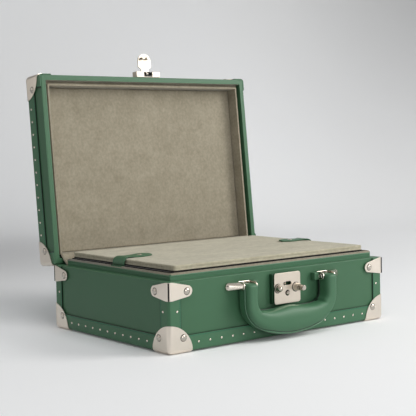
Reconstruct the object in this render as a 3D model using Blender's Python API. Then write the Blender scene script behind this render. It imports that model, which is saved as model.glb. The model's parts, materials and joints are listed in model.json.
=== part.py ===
"""Watch briefcase, stood open: a leather-covered box with nickel corners, a front lock, a hanging
handle, a hinged lid with a swinging hasp, and a padded cover panel over a tray of watch cushions.

Metres, +Z up, X across the front, Y from the front to the back. The floor is Z = 0.
"""

import math

import bmesh
import bpy
from mathutils import Matrix, Vector

# Overall case
CASE_WIDTH = 0.398
CASE_DEPTH = 0.286
BASE_TOP = 0.0951
LID_HEIGHT = 0.0454
LID_GAP = 0.0003
OPEN_ANGLE = math.radians(95.64)
CORNER_RADIUS = 0.0035
RIM_RADIUS = 0.0012

# Clearance between touching pieces, and how far a cutter runs past what it cuts
GAP = 0.0003
PIN_CLEARANCE = 0.0001
OVERRUN = 0.002

# Box walls
WALL = 0.0097
FLOOR = 0.006
LID_WALL = 0.008
LID_BOARD = 0.005

# Leather binding strips and nickel corners
STRIP = 0.0014
STRIP_HEIGHT = 0.0205
CORNER_STRIP = 0.0175
UNDER_STRIP = 0.0200
SHEET = 0.0010
CAP_REACH = 0.0385
BRACKET_WING = 0.0360
BRACKET_FOLD_HEIGHT = 0.0243
BRACKET_END_HEIGHT = 0.0150
BRACKET_END_DROP = 0.0134

# Locating lip, its lining, the tray and the watch cushions
LEDGE = 0.0100
LIP = 0.0010
LIP_RISE = 0.0082
LIP_DEPTH = 0.0200
LIP_REAR_STOP = 0.0180
LINER = 0.0010
LINER_RISE = 0.0097
TRAY_SIDE_GAP = 0.0068
TRAY_END_GAP = 0.0047
TRAY_WALL = 0.0050
TRAY_FLOOR = 0.0040
DIVIDER = 0.0040
DIVIDER_HEIGHT = 0.0620
WATCH_ROW = 0.0800
WATCH_ROWS = 2
WATCH_COLUMNS = 4
CUSHION_HEIGHT = 0.0480
CUSHION_CLEARANCE = 0.0045

# Cover panel
PANEL_EDGE = 0.0056
PANEL_CROWN = 0.0046
PANEL_SIDE_SHOW = 0.0032
PANEL_END_SHOW = 0.0002
PANEL_ROUND = 0.0016

# Strap tabs
STRAP = 0.0018
STRAP_FOOT_WIDTH = 0.0290
STRAP_NECK_WIDTH = 0.0170
STRAP_SPADE_WIDTH = 0.0210
STRAP_TIP_WIDTH = 0.0120
STRAP_REACH = 0.0550
STRAP_NECK_REACH = 0.0150
STRAP_SPADE_REACH = 0.0360
STRAP_BEND = 0.0045
STRAP_LIFT = 0.0028
STRAP_ROOT = 0.0180
STRAP_SLOPE = 0.0012
STUD_RADIUS = 0.0035
STUD_HEIGHT = 0.0012

# Lid lining
LID_GROOVE = 0.0046
LID_LINER = 0.0030
LID_LINER_RECESS = 0.0042
LINING_DEPTH = 0.0238
LINING_CROWN = 0.0012
FLAP = 0.0010
FLAP_SAG = 0.0016

# Lock
LOCK_WIDTH = 0.0490
LOCK_LOW = 0.0474
LOCK_HIGH = 0.0907
LOCK_CORNER = 0.0035
LOCK_HOUSING = 0.0070
LOCK_PLATE = 0.0012
LOCK_MARGIN = 0.0008
LOCK_BACK = 0.0010
SLOT_Z = 0.0753
SLOT_WIDTH = 0.0150
SLOT_HEIGHT = 0.0054
BOLT_WIDTH = 0.0024
BOLT_HEIGHT = 0.0050
BOLT_DEPTH = 0.0022
COLLAR_RADIUS = 0.00585
COLLAR_HEIGHT = 0.0015
LEFT_KNOB_X = 0.0180
LEFT_KNOB_Z = 0.0695
LEFT_KNOB_RADIUS = 0.0046
LEFT_KNOB_REACH = 0.0080
LEFT_KNOB_TRAVEL = 0.0030
RIGHT_KNOB_X = 0.0155
RIGHT_KNOB_Z = 0.0690
RIGHT_KNOB_RADIUS = 0.0040
RIGHT_KNOB_REACH = 0.0180
RIGHT_KNOB_TRAVEL = 0.0050
FERRULE_RADIUS = 0.0052
FERRULE_TIP_RADIUS = 0.0048
FERRULE_HEIGHT = 0.0085
KEY_Z = 0.0620
KEY_RADIUS = 0.00325
KEY_REACH = 0.0026
KEYHOLE_WIDTH = 0.0010
KEYHOLE_HEIGHT = 0.0040
KEYHOLE_DEPTH = 0.0015

# Handle and its mounts: x is measured from the middle of the case
MOUNT_LOW = 0.0740
MOUNT_HIGH = 0.0850
MOUNT_INNER = 0.0620
MOUNT_OUTER = 0.0860
MOUNT_DEPTH = 0.0170
MOUNT_LEG = 0.0020
MOUNT_BACK = 0.0016
MOUNT_BLOCK = 0.0090
MOUNT_BLOCK_DEPTH = 0.0070
MOUNT_EASE = 0.0006
FAIRING_LENGTH = 0.0203
FAIRING_DEPTH = 0.0150
FAIRING_END_DEPTH = 0.0060
FAIRING_GROOVE = 0.0009
FAIRING_ROUND = 0.0032
HANDLE_PIN_RADIUS = 0.00175
HANDLE_PIN_OUT = 0.0110
HANDLE_OUT = 0.0145
HANDLE_TOP = 0.0840
HANDLE_BEND_Z = 0.0600
HANDLE_LOW = 0.0055
HANDLE_GRIP_HEIGHT = 0.0405
HANDLE_GRIP_THICK = 0.0246
HANDLE_END_WIDTH = 0.0176
HANDLE_END_THICK = 0.0205
HANDLE_WELT = 0.0010
HANDLE_BEND_POWER_SHARE = 2.7
HANDLE_SWELL_SHARE = 1.25

# Hinges
HINGE_OUT = 0.0010
HINGE_INSET = 0.0790
LEAF_WIDTH = 0.0500
LEAF_HEIGHT = 0.0200
LEAF = 0.0012
KNUCKLE_RADIUS = 0.0022
HINGE_PIN_RADIUS = 0.0011
KNUCKLES = 5
HINGE_STRIP_CLEARANCE = 0.0030

# Hasp on the lid's front
HASP_WIDTH = 0.0460
HASP_LOW = 0.0962
HASP_HEIGHT = 0.0118
HASP_PROUD = 0.0092
HASP_PLATE = 0.0012
HASP_EASE = 0.0004
HASP_MOUTH = 0.0160
HASP_PIN_RISE = 0.0050
HASP_PIN_OUT = 0.0062
HASP_PIN_RADIUS = 0.0012
HASP_EYE_RADIUS = 0.0026
TONGUE = 0.0018
TONGUE_WIDTH = 0.0252
TONGUE_NECK = 0.0148
TONGUE_NECK_LENGTH = 0.0088
TONGUE_LENGTH = 0.0336
TONGUE_CLEARANCE = 0.0009
PRONG_WIDTH = 0.0048
PRONG_HEIGHT = 0.0028
PRONG_LENGTH = 0.0056
PRONG_SPACING = 0.0088
TONGUE_OPEN_ANGLE = math.radians(90)

# Places that follow from the sizes above
HALF_WIDTH = CASE_WIDTH / 2
STRIP_OUT = GAP + STRIP
CAP_IN = STRIP_OUT + GAP
CAP_OUT = CAP_IN + SHEET
CASE_BOTTOM = CAP_OUT
RIM = BASE_TOP + LID_GAP
LID_TOP = RIM + LID_HEIGHT - CAP_OUT
PLATE_FRONT = GAP + LOCK_HOUSING + GAP + LOCK_PLATE
FRONT_REACH = max(PLATE_FRONT + RIGHT_KNOB_REACH, HANDLE_OUT + HANDLE_GRIP_THICK / 2)
LEAN = OPEN_ANGLE - math.pi / 2
LID_SWING = CASE_DEPTH + HINGE_OUT + CAP_OUT
CAP_RADIUS = CORNER_RADIUS + CAP_OUT
CORNER_LOSS = CAP_RADIUS * (math.sin(LEAN) + math.cos(LEAN) - 1)
BACK_REACH = (CASE_DEPTH + HINGE_OUT + LID_SWING * math.sin(LEAN)
              + (LID_HEIGHT + LID_GAP / 2) * math.cos(LEAN) - CORNER_LOSS)
FRONT = (FRONT_REACH - BACK_REACH) / 2
BACK = FRONT + CASE_DEPTH
HINGE_Y = BACK + HINGE_OUT
HINGE_Z = BASE_TOP + LID_GAP / 2
LINER_INSET = LEDGE + LIP + GAP
MOAT_INSET = LINER_INSET + LINER
TRAY_SIDE_INSET = MOAT_INSET + TRAY_SIDE_GAP
TRAY_END_INSET = MOAT_INSET + TRAY_END_GAP
TRAY_BOTTOM = CASE_BOTTOM + FLOOR + GAP
TRAY_BED = TRAY_BOTTOM + TRAY_FLOOR
TRAY_TOP = BASE_TOP + LINER_RISE
PANEL_BOTTOM = TRAY_TOP + GAP
PANEL_TOP = PANEL_BOTTOM + PANEL_EDGE
STRAP_X = TRAY_SIDE_INSET - GAP - STRAP / 2
STRAP_HINGE_Z = TRAY_TOP + GAP + STRAP / 2
MIDDLE_Y = (FRONT + BACK) / 2
LID_LINER_INSET = LID_WALL + LID_GROOVE
LINING_INSET = LID_LINER_INSET + LID_LINER + GAP
LINING_FACE = RIM + LINING_DEPTH
LID_CEILING = LID_TOP - LID_BOARD
HASP_PIN_Z = HASP_LOW + HASP_PIN_RISE
HANDLE_PIN_Z = (MOUNT_LOW + MOUNT_HIGH) / 2
HANDLE_END_X = (MOUNT_INNER + MOUNT_OUTER - HANDLE_WELT) / 2
HINGE_X = HALF_WIDTH - HINGE_INSET

SIDES = {"left": -1, "right": 1}
CORNERS = {"front_left": (-1, -1), "front_right": (1, -1), "back_left": (-1, 1), "back_right": (1, 1)}


def clear_scene():
    for item in list(bpy.data.objects):
        bpy.data.objects.remove(item, do_unlink=True)


def linear(channel):
    """One sRGB channel from 0 to 255 as a linear value."""
    value = channel / 255
    return value / 12.92 if value <= 0.04045 else ((value + 0.055) / 1.055) ** 2.4


def material(name, colour, roughness, metallic=0.0):
    finish = bpy.data.materials.new(name)
    finish.use_nodes = True
    shader = finish.node_tree.nodes["Principled BSDF"]
    shader.inputs["Base Color"].default_value = [linear(c) for c in colour] + [1.0]
    shader.inputs["Roughness"].default_value = roughness
    shader.inputs["Metallic"].default_value = metallic
    return finish


def make_materials():
    return {
        "leather": material("green_leather", (58, 100, 72), 0.45),
        "binding": material("green_binding_leather", (54, 94, 68), 0.5),
        "handle": material("handle_leather", (62, 108, 80), 0.4),
        "nickel": material("nickel", (206, 198, 188), 0.25, 1.0),
        "suede": material("stone_suede", (150, 141, 119), 0.9),
        "panel_suede": material("panel_suede", (168, 160, 138), 0.9),
        "steel": material("lock_steel", (150, 148, 144), 0.35, 1.0),
    }


def add_object(name, mesh, finish=None):
    item = bpy.data.objects.new(name, mesh)
    bpy.context.scene.collection.objects.link(item)
    if finish is not None:
        mesh.materials.append(finish)
    return item


def finish_mesh(bm, name, finish=None, smooth_angle=30):
    bmesh.ops.recalc_face_normals(bm, faces=bm.faces[:])
    mesh = bpy.data.meshes.new(name)
    bm.to_mesh(mesh)
    bm.free()
    mesh.shade_smooth()
    mesh.set_sharp_from_angle(angle=math.radians(smooth_angle))
    return add_object(name, mesh, finish)


def box_mesh(low, high):
    bm = bmesh.new()
    bmesh.ops.create_cube(bm, size=1.0)
    size = Vector(high) - Vector(low)
    middle = (Vector(high) + Vector(low)) / 2
    bmesh.ops.transform(bm, matrix=Matrix.Translation(middle) @ Matrix.Diagonal((*size, 1)), verts=bm.verts[:])
    return bm


def edges_along(bm, axis):
    """Edges that run along one axis."""
    return [e for e in bm.edges if abs((e.verts[1].co - e.verts[0].co).normalized()[axis]) > 0.99]


def edges_at(bm, axis, place, tolerance=1e-6):
    """Edges that lie in the plane where the axis has this value."""
    return [e for e in bm.edges if all(abs(v.co[axis] - place) < tolerance for v in e.verts)]


def block(name, low, high, finish=None, radius=0.0, segments=3, round_end=None, rim=0.0, axis=2):
    """A box whose edges along the axis are rounded. round_end names an end ("low" or "high") that is
    rounded alike, and rim eases the edges of the other end."""
    bm = box_mesh(low, high)
    ends = {"low": low[axis], "high": high[axis]}
    if radius > 0:
        chosen = edges_along(bm, axis)
        if round_end:
            chosen += edges_at(bm, axis, ends[round_end])
        bmesh.ops.bevel(bm, geom=chosen, offset=radius, segments=segments, profile=0.5, affect="EDGES")
    if rim > 0:
        other = "high" if round_end == "low" else "low"
        bmesh.ops.bevel(bm, geom=edges_at(bm, axis, ends[other]), offset=rim, segments=2, profile=0.5,
                        affect="EDGES")
    return finish_mesh(bm, name, finish)


def turned(name, profile, centre, direction, finish=None, sides=24):
    """A solid of revolution. The profile lists (distance along the direction, radius), starting and
    ending at radius zero."""
    axis = Vector(direction).normalized()
    turn = Vector((0, 0, 1)).rotation_difference(axis).to_matrix().to_4x4()
    bm = bmesh.new()
    rings = []
    for along, radius in profile:
        if radius <= 0:
            rings.append([bm.verts.new((0, 0, along))])
            continue
        angles = [2 * math.pi * i / sides for i in range(sides)]
        rings.append([bm.verts.new((radius * math.cos(a), radius * math.sin(a), along)) for a in angles])
    for first, second in zip(rings, rings[1:]):
        for i in range(sides):
            j = (i + 1) % sides
            corners = [first[i % len(first)], first[j % len(first)]]
            corners += [second[j % len(second)], second[i % len(second)]]
            bm.faces.new(list(dict.fromkeys(corners)))
    bmesh.ops.transform(bm, matrix=Matrix.Translation(Vector(centre)) @ turn, verts=bm.verts[:])
    return finish_mesh(bm, name, finish)


def rod(name, start, end, radius, finish=None, sides=20):
    length = (Vector(end) - Vector(start)).length
    profile = [(0, 0), (0, radius), (length, radius), (length, 0)]
    return turned(name, profile, start, Vector(end) - Vector(start), finish, sides)


def extrude_outline(name, outline, axis, low, high, finish=None):
    """A prism: the outline's two numbers are the other two axes in order, and it runs along the axis."""
    others = [i for i in range(3) if i != axis]
    bm = bmesh.new()
    loops = []
    for place in (low, high):
        loop = []
        for point in outline:
            co = [0.0, 0.0, 0.0]
            co[others[0]], co[others[1]], co[axis] = point[0], point[1], place
            loop.append(bm.verts.new(co))
        loops.append(loop)
    bm.faces.new(loops[0])
    bm.faces.new(loops[1])
    for i in range(len(outline)):
        j = (i + 1) % len(outline)
        bm.faces.new([loops[0][i], loops[0][j], loops[1][j], loops[1][i]])
    return finish_mesh(bm, name, finish)


def arc(centre, radius, start, end, steps):
    """Points on an arc, angles in degrees."""
    angles = [math.radians(start + (end - start) * i / steps) for i in range(steps + 1)]
    return [(centre[0] + radius * math.cos(a), centre[1] + radius * math.sin(a)) for a in angles]


def combine(target, tool, operation="DIFFERENCE"):
    """Keeps a Boolean on the target, and hides its tool."""
    step = target.modifiers.new(tool.name, "BOOLEAN")
    step.operation = operation
    step.object = tool
    tool.hide_render = True
    tool.display_type = "WIRE"
    return target


def ease_edges(target, width, segments=2):
    step = target.modifiers.new("eased_edges", "BEVEL")
    step.width = width
    step.segments = segments
    step.limit_method = "ANGLE"
    step.angle_limit = math.radians(40)


def case_box(name, offset, z_low, z_high, finish=None, radius=CORNER_RADIUS, **options):
    """A box round the whole case, grown by the offset. A negative offset is an inset."""
    low = (-HALF_WIDTH - offset, FRONT - offset, z_low)
    high = (HALF_WIDTH + offset, BACK + offset, z_high)
    return block(name, low, high, finish, radius=max(radius + offset, CORNER_RADIUS / 2), **options)


def case_ring(name, inset_out, inset_in, z_low, z_high, finish):
    """Four thin walls between two insets from the case's faces, open above and below."""
    ring = case_box(name, -inset_out, z_low, z_high, finish)
    inside = block(name + "_inside", (-HALF_WIDTH + inset_in, FRONT + inset_in, z_low - OVERRUN),
                   (HALF_WIDTH - inset_in, BACK - inset_in, z_high + OVERRUN))
    return combine(ring, inside)


def make_base_shell(finishes):
    shell = case_box("base_shell", 0.0, CASE_BOTTOM, BASE_TOP, finishes["leather"], round_end="low",
                     rim=RIM_RADIUS)
    cavity = case_box("base_cavity", -WALL, CASE_BOTTOM + FLOOR, BASE_TOP + OVERRUN)
    combine(shell, cavity)


def make_lid_shell(finishes, on_lid):
    shell = case_box("lid_shell", 0.0, RIM, LID_TOP, finishes["leather"], round_end="high", rim=RIM_RADIUS)
    cavity = case_box("lid_cavity", -LID_WALL, RIM - OVERRUN, LID_CEILING)
    combine(shell, cavity)
    on_lid(shell, cavity)


def make_binding(name, closed_end, rim_end, finish, back_clearance=0.0):
    """Strips round the closed end of a shell and up its four corners, as one skin. closed_end is the
    z of the shell's floor or top, and rim_end where the strips stop near the rim. On the back face
    they stop short by the clearance, so that the lid can fold back over the base."""
    away = 1 if rim_end > closed_end else -1
    ends = sorted((closed_end - away * STRIP_OUT, rim_end))
    skin = case_box(name, STRIP_OUT, *ends, finish, round_end="low" if away > 0 else "high")
    ends = sorted((closed_end - away * GAP, rim_end + away * OVERRUN))
    inside = case_box(name + "_inside", GAP, *ends, round_end="low" if away > 0 else "high")
    combine(skin, inside)
    ends = sorted((closed_end + away * STRIP_HEIGHT, rim_end + away * OVERRUN))
    far = STRIP_OUT + OVERRUN
    front_window = block(name + "_front_window", (-HALF_WIDTH + CORNER_STRIP, FRONT - far, ends[0]),
                         (HALF_WIDTH - CORNER_STRIP, BACK + far, ends[1]))
    side_window = block(name + "_side_window", (-HALF_WIDTH - far, FRONT + CORNER_STRIP, ends[0]),
                        (HALF_WIDTH + far, BACK - CORNER_STRIP, ends[1]))
    ends = sorted((closed_end - away * far, closed_end + away * OVERRUN))
    under_window = block(name + "_under_window", (-HALF_WIDTH + UNDER_STRIP, FRONT + UNDER_STRIP, ends[0]),
                         (HALF_WIDTH - UNDER_STRIP, BACK - UNDER_STRIP, ends[1]))
    tools = [inside, front_window, side_window, under_window]
    if back_clearance > 0:
        ends = sorted((rim_end - away * back_clearance, rim_end + away * OVERRUN))
        tools.append(block(name + "_back_window", (-HALF_WIDTH - far, BACK, ends[0]),
                           (HALF_WIDTH + far, BACK + far, ends[1])))
    for window in tools[1:]:
        combine(skin, window)
    return [skin] + tools


def make_cap(name, side_x, side_y, closed_end, away, finish):
    """A pressed three-sided corner cap: a thin skin outside the binding, trimmed to a ball of
    radius CAP_REACH round the case's corner."""
    corner = Vector((side_x * HALF_WIDTH, FRONT if side_y < 0 else BACK, closed_end))
    inward = Vector((-side_x, -side_y, away))
    parts = []
    skins = (("", CAP_OUT, CAP_REACH + OVERRUN, finish), ("_inside", CAP_IN, CAP_REACH + 2 * OVERRUN, None))
    for suffix, offset, reach, skin_finish in skins:
        near = corner - inward * offset
        far = corner + inward * reach
        low = [min(a, b) for a, b in zip(near, far)]
        high = [max(a, b) for a, b in zip(near, far)]
        parts.append(block(name + suffix, low, high, skin_finish, radius=CORNER_RADIUS + offset,
                           round_end="low" if away > 0 else "high"))
    bm = bmesh.new()
    bmesh.ops.create_uvsphere(bm, u_segments=32, v_segments=32, radius=CAP_REACH,
                              matrix=Matrix.Translation(corner - inward * CAP_OUT))
    ball = finish_mesh(bm, name + "_trim")
    combine(parts[0], parts[1])
    combine(parts[0], ball, "INTERSECT")
    return parts + [ball]


def bracket_stations():
    """Distances from the fold along a bracket's wing, with the middle's drop below the base's top and
    the half height there. The wing tapers, and its end is a half circle."""
    fold_half = BRACKET_FOLD_HEIGHT / 2
    end_half = BRACKET_END_HEIGHT / 2
    straight = BRACKET_WING - end_half
    stations = []
    for share in (0.0, 1.0):
        along = share * straight
        drop = GAP + fold_half + share * (BRACKET_END_DROP - GAP - fold_half)
        stations.append((along, drop, fold_half + share * (end_half - fold_half)))
    for degrees in (25, 50, 70, 84):
        angle = math.radians(degrees)
        stations.append((straight + end_half * math.sin(angle), BRACKET_END_DROP, end_half * math.cos(angle)))
    return stations


def make_bracket(name, side_x, side_y, finish):
    """A nickel bracket folded round a vertical corner of the base, just under the ledge."""
    bend = CORNER_RADIUS
    centre = Vector((side_x * (HALF_WIDTH - bend), (FRONT if side_y < 0 else BACK) - side_y * bend, 0))
    columns = []
    wing = [s for s in bracket_stations() if s[0] > bend]
    fold = bracket_stations()[0]
    for along, drop, half in reversed(wing):
        columns.append((Vector((0, side_y, 0)), Vector((-side_x, 0, 0)) * (along - bend), drop, half))
    for step in range(5):
        angle = math.pi / 2 * step / 4
        out = Vector((side_x * math.sin(angle), side_y * math.cos(angle), 0))
        columns.append((out, Vector((0, 0, 0)), fold[1], fold[2]))
    for along, drop, half in wing:
        columns.append((Vector((side_x, 0, 0)), Vector((0, -side_y, 0)) * (along - bend), drop, half))
    bm = bmesh.new()
    rings = []
    for out, shift, drop, half in columns:
        ring = []
        for offset, rise in ((CAP_IN, half), (CAP_OUT, half), (CAP_OUT, -half), (CAP_IN, -half)):
            place = centre + shift + out * (bend + offset)
            ring.append(bm.verts.new((place.x, place.y, BASE_TOP - drop + rise)))
        rings.append(ring)
    for first, second in zip(rings, rings[1:]):
        for i in range(4):
            j = (i + 1) % 4
            bm.faces.new([first[i], first[j], second[j], second[i]])
    bm.faces.new(rings[0])
    bm.faces.new(rings[-1])
    finish_mesh(bm, name, finish)


def make_lip(finishes):
    lip = case_ring("base_lip", LEDGE, LEDGE + LIP, BASE_TOP - LIP_DEPTH, BASE_TOP + LIP_RISE,
                    finishes["leather"])
    rear = block("lip_rear_cut", (-HALF_WIDTH, BACK - LIP_REAR_STOP, BASE_TOP - LIP_DEPTH - OVERRUN),
                 (HALF_WIDTH, BACK, BASE_TOP + LIP_RISE + OVERRUN))
    combine(lip, rear)
    liner = case_ring("base_liner", LINER_INSET, LINER_INSET + LINER, TRAY_BOTTOM, TRAY_TOP, finishes["suede"])
    rear = block("liner_rear_cut", (-HALF_WIDTH, BACK - LIP_REAR_STOP, BASE_TOP - GAP),
                 (HALF_WIDTH, BACK, TRAY_TOP + OVERRUN))
    combine(liner, rear)


def tray_inside():
    """Half width, front and back of the space inside the tray's walls."""
    return (HALF_WIDTH - TRAY_SIDE_INSET - TRAY_WALL, FRONT + TRAY_END_INSET + TRAY_WALL,
            BACK - TRAY_END_INSET - TRAY_WALL)


def make_tray(finishes):
    half, front, back = tray_inside()
    tray = block("watch_tray", (-half - TRAY_WALL, front - TRAY_WALL, TRAY_BOTTOM),
                 (half + TRAY_WALL, back + TRAY_WALL, TRAY_TOP), finishes["suede"], radius=CORNER_RADIUS)
    combine(tray, block("tray_cavity", (-half, front, TRAY_BED), (half, back, TRAY_TOP + OVERRUN)))


def make_divider(finishes):
    """A lattice that parts the tray into cells for cushions, with one long trough behind them."""
    half, front, back = tray_inside()
    low, high = TRAY_BED + GAP, TRAY_BED + GAP + DIVIDER_HEIGHT
    cells_back = front + GAP + WATCH_ROWS * (WATCH_ROW + DIVIDER)
    lattice = block("tray_divider", (-half + GAP, front + GAP, low), (half - GAP, cells_back, high),
                    finishes["suede"])
    cell = (2 * (half - GAP) - (WATCH_COLUMNS - 1) * DIVIDER) / WATCH_COLUMNS
    places = []
    for row in range(WATCH_ROWS):
        for column in range(WATCH_COLUMNS):
            x_low = -half + GAP + column * (cell + DIVIDER)
            y_low = front + GAP + row * (WATCH_ROW + DIVIDER)
            past_left = OVERRUN if column == 0 else 0
            past_front = OVERRUN if row == 0 else 0
            past_right = OVERRUN if column == WATCH_COLUMNS - 1 else 0
            cut_low = [x_low - past_left, y_low - past_front, low - OVERRUN]
            cut_high = [x_low + cell + past_right, y_low + WATCH_ROW, high + OVERRUN]
            name = "cell_cut_%d_%d" % (row + 1, column + 1)
            combine(lattice, block(name, cut_low, cut_high))
            places.append((x_low + cell / 2, y_low + WATCH_ROW / 2))
    return places, cell


def cushion_mesh(length, depth, height, around=20, rows=9):
    """A pillow: a superellipsoid with a crowned top, drawn-in sides and a flat underside."""
    bm = bmesh.new()
    rings = []
    for row in range(1, rows):
        angle = math.pi * (row / rows - 0.5)
        rise = math.copysign(abs(math.sin(angle)) ** 0.7, angle)
        girth = max(math.cos(angle), 0.0) ** 0.45
        z = max(rise, -0.9) * height / 2
        ring = []
        for i in range(around):
            turn = 2 * math.pi * i / around
            x = math.copysign(abs(math.cos(turn)) ** 0.5, math.cos(turn)) * girth * length / 2
            y = math.copysign(abs(math.sin(turn)) ** 0.5, math.sin(turn)) * girth * depth / 2
            ring.append(bm.verts.new((x, y, z + 0.9 * height / 2)))
        rings.append(ring)
    for first, second in zip(rings, rings[1:]):
        for i in range(around):
            j = (i + 1) % around
            bm.faces.new([first[i], first[j], second[j], second[i]])
    bm.faces.new(rings[0])
    crown = bm.verts.new((0, 0, 1.9 * height / 2))
    for i in range(around):
        bm.faces.new([rings[-1][i], rings[-1][(i + 1) % around], crown])
    return bm


def make_cushions(places, cell, finishes):
    bm = cushion_mesh(cell - 2 * CUSHION_CLEARANCE, WATCH_ROW - 2 * CUSHION_CLEARANCE, CUSHION_HEIGHT)
    first = finish_mesh(bm, "watch_cushion_1", finishes["panel_suede"])
    for index, (x, y) in enumerate(places):
        item = first if index == 0 else add_object("watch_cushion_%d" % (index + 1), first.data)
        item.location = (x, y, TRAY_BED + GAP)


def make_pad(name, half_x, y_low, y_high, z_flat, z_edge, crown, rounding, finish, columns=16, rows=12):
    """A padded slab: flat on one side at z_flat, and crowned on the other, where its edge is at
    z_edge. The crown rises away from the flat side, most in the middle."""
    away = 1 if z_edge > z_flat else -1
    mid_y, half_y = (y_low + y_high) / 2, (y_high - y_low) / 2
    bm = bmesh.new()
    grid = []
    for row in range(rows + 1):
        line = []
        for column in range(columns + 1):
            u = math.sin(math.pi * (column / columns - 0.5))
            v = math.sin(math.pi * (row / rows - 0.5))
            swell = crown * (1 - abs(u) ** 3) * (1 - abs(v) ** 3)
            line.append(bm.verts.new((u * (half_x - rounding), mid_y + v * (half_y - rounding),
                                      z_edge + away * swell)))
        grid.append(line)
    for row in range(rows):
        for column in range(columns):
            bm.faces.new([grid[row][column], grid[row][column + 1], grid[row + 1][column + 1],
                          grid[row + 1][column]])
    border = grid[0][:-1] + [line[-1] for line in grid[:-1]]
    border += grid[-1][:0:-1] + [line[0] for line in grid[:0:-1]]
    centre = Vector((0, mid_y, 0))
    previous = border
    for grow_share, drop_share in ((0.7, 0.3), (1.0, 1.0)):
        loop = []
        for vert in border:
            grow = grow_share * rounding
            side = vert.co.y - centre.y
            x = vert.co.x + math.copysign(grow, vert.co.x) * (abs(vert.co.x) > half_x - 1.01 * rounding)
            y = vert.co.y + math.copysign(grow, side) * (abs(side) > half_y - 1.01 * rounding)
            loop.append(bm.verts.new((x, y, z_edge - away * drop_share * rounding)))
        for i in range(len(border)):
            j = (i + 1) % len(border)
            bm.faces.new([previous[i], previous[j], loop[j], loop[i]])
        previous = loop
    base = [bm.verts.new((v.co.x, v.co.y, z_flat)) for v in previous]
    for i in range(len(base)):
        j = (i + 1) % len(base)
        bm.faces.new([previous[i], previous[j], base[j], base[i]])
    bm.faces.new(base)
    return finish_mesh(bm, name, finish)


def make_cover_panel(finishes):
    make_pad("cover_panel", HALF_WIDTH - TRAY_SIDE_INSET - PANEL_SIDE_SHOW,
             FRONT + TRAY_END_INSET + PANEL_END_SHOW, BACK - TRAY_END_INSET - PANEL_END_SHOW,
             PANEL_BOTTOM, PANEL_TOP, PANEL_CROWN, PANEL_ROUND, finishes["panel_suede"])


def strap_path():
    """The strap's middle line as (distance in from the fold line, z, width, half thickness), from the
    half-round foot, round the bend and along over the panel to the tip."""
    half = STRAP / 2
    top_z = PANEL_TOP + STRAP_LIFT + half
    points = []
    for degrees in (80, 52, 26, 0):
        angle = math.radians(degrees)
        points.append((0.0, STRAP_HINGE_Z - half * math.sin(angle), STRAP_FOOT_WIDTH, half * math.cos(angle)))
    points.append((0.0, top_z - STRAP_BEND, STRAP_FOOT_WIDTH, half))
    for step in range(1, 6):
        angle = math.pi / 2 * step / 5
        points.append((STRAP_BEND * (1 - math.cos(angle)), top_z - STRAP_BEND * (1 - math.sin(angle)),
                       STRAP_FOOT_WIDTH, half))
    run = STRAP_REACH - STRAP_BEND
    stations = [(STRAP_NECK_REACH * 0.6, (STRAP_FOOT_WIDTH + STRAP_NECK_WIDTH) / 2),
                (STRAP_NECK_REACH, STRAP_NECK_WIDTH), (STRAP_SPADE_REACH * 0.8, STRAP_NECK_WIDTH),
                (STRAP_SPADE_REACH, STRAP_SPADE_WIDTH),
                (STRAP_REACH * 0.88, (STRAP_SPADE_WIDTH + STRAP_TIP_WIDTH) / 2),
                (STRAP_REACH, STRAP_TIP_WIDTH)]
    for reach, width in stations:
        points.append((reach, top_z + STRAP_SLOPE * (reach - STRAP_BEND) / run, width, half))
    return points


def ribbon(name, points, side, finish):
    """A strip along points of (inward distance, z, width, half thickness) at one end of the case."""
    bm = bmesh.new()
    rings = []
    for index, (inward, z, width, half) in enumerate(points):
        before = points[max(index - 1, 0)]
        after = points[min(index + 1, len(points) - 1)]
        along = Vector((after[0] - before[0], after[1] - before[1])).normalized()
        normal = Vector((-along.y, along.x)) * half
        ring = []
        for sign, y_side in ((1, -1), (1, 1), (-1, 1), (-1, -1)):
            x = side * (HALF_WIDTH - STRAP_X - inward - sign * normal.x)
            ring.append(bm.verts.new((x, MIDDLE_Y + y_side * width / 2, z + sign * normal.y)))
        rings.append(ring)
    for first, second in zip(rings, rings[1:]):
        for i in range(4):
            j = (i + 1) % 4
            bm.faces.new([first[i], first[j], second[j], second[i]])
    bm.faces.new(rings[0])
    bm.faces.new(rings[-1])
    return finish_mesh(bm, name, finish)


def make_straps(finishes):
    path = strap_path()
    run = STRAP_REACH - STRAP_BEND
    half = STRAP / 2
    root_top = STRAP_HINGE_Z - half - GAP
    for word, side in SIDES.items():
        ribbon("strap_" + word, path, side, finishes["leather"])
        root = [(0.0, root_top - STRAP_ROOT, STRAP_FOOT_WIDTH, half),
                (0.0, root_top, STRAP_FOOT_WIDTH, half)]
        ribbon("strap_root_" + word, root, side, finishes["leather"])
        stud_z = path[-1][1] - STRAP_SLOPE * (STRAP_REACH - STRAP_SPADE_REACH) / run + STRAP / 2 + GAP
        profile = [(0, 0), (0, STUD_RADIUS), (STUD_HEIGHT * 0.4, STUD_RADIUS),
                   (STUD_HEIGHT * 0.8, STUD_RADIUS * 0.75), (STUD_HEIGHT, STUD_RADIUS * 0.35), (STUD_HEIGHT, 0)]
        stud_place = (side * (HALF_WIDTH - STRAP_X - STRAP_SPADE_REACH), MIDDLE_Y, stud_z)
        turned("strap_stud_" + word, profile, stud_place, (0, 0, 1), finishes["nickel"], 16)


def lock_y(depth):
    """Y at a depth out from the front face."""
    return FRONT - depth


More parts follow.
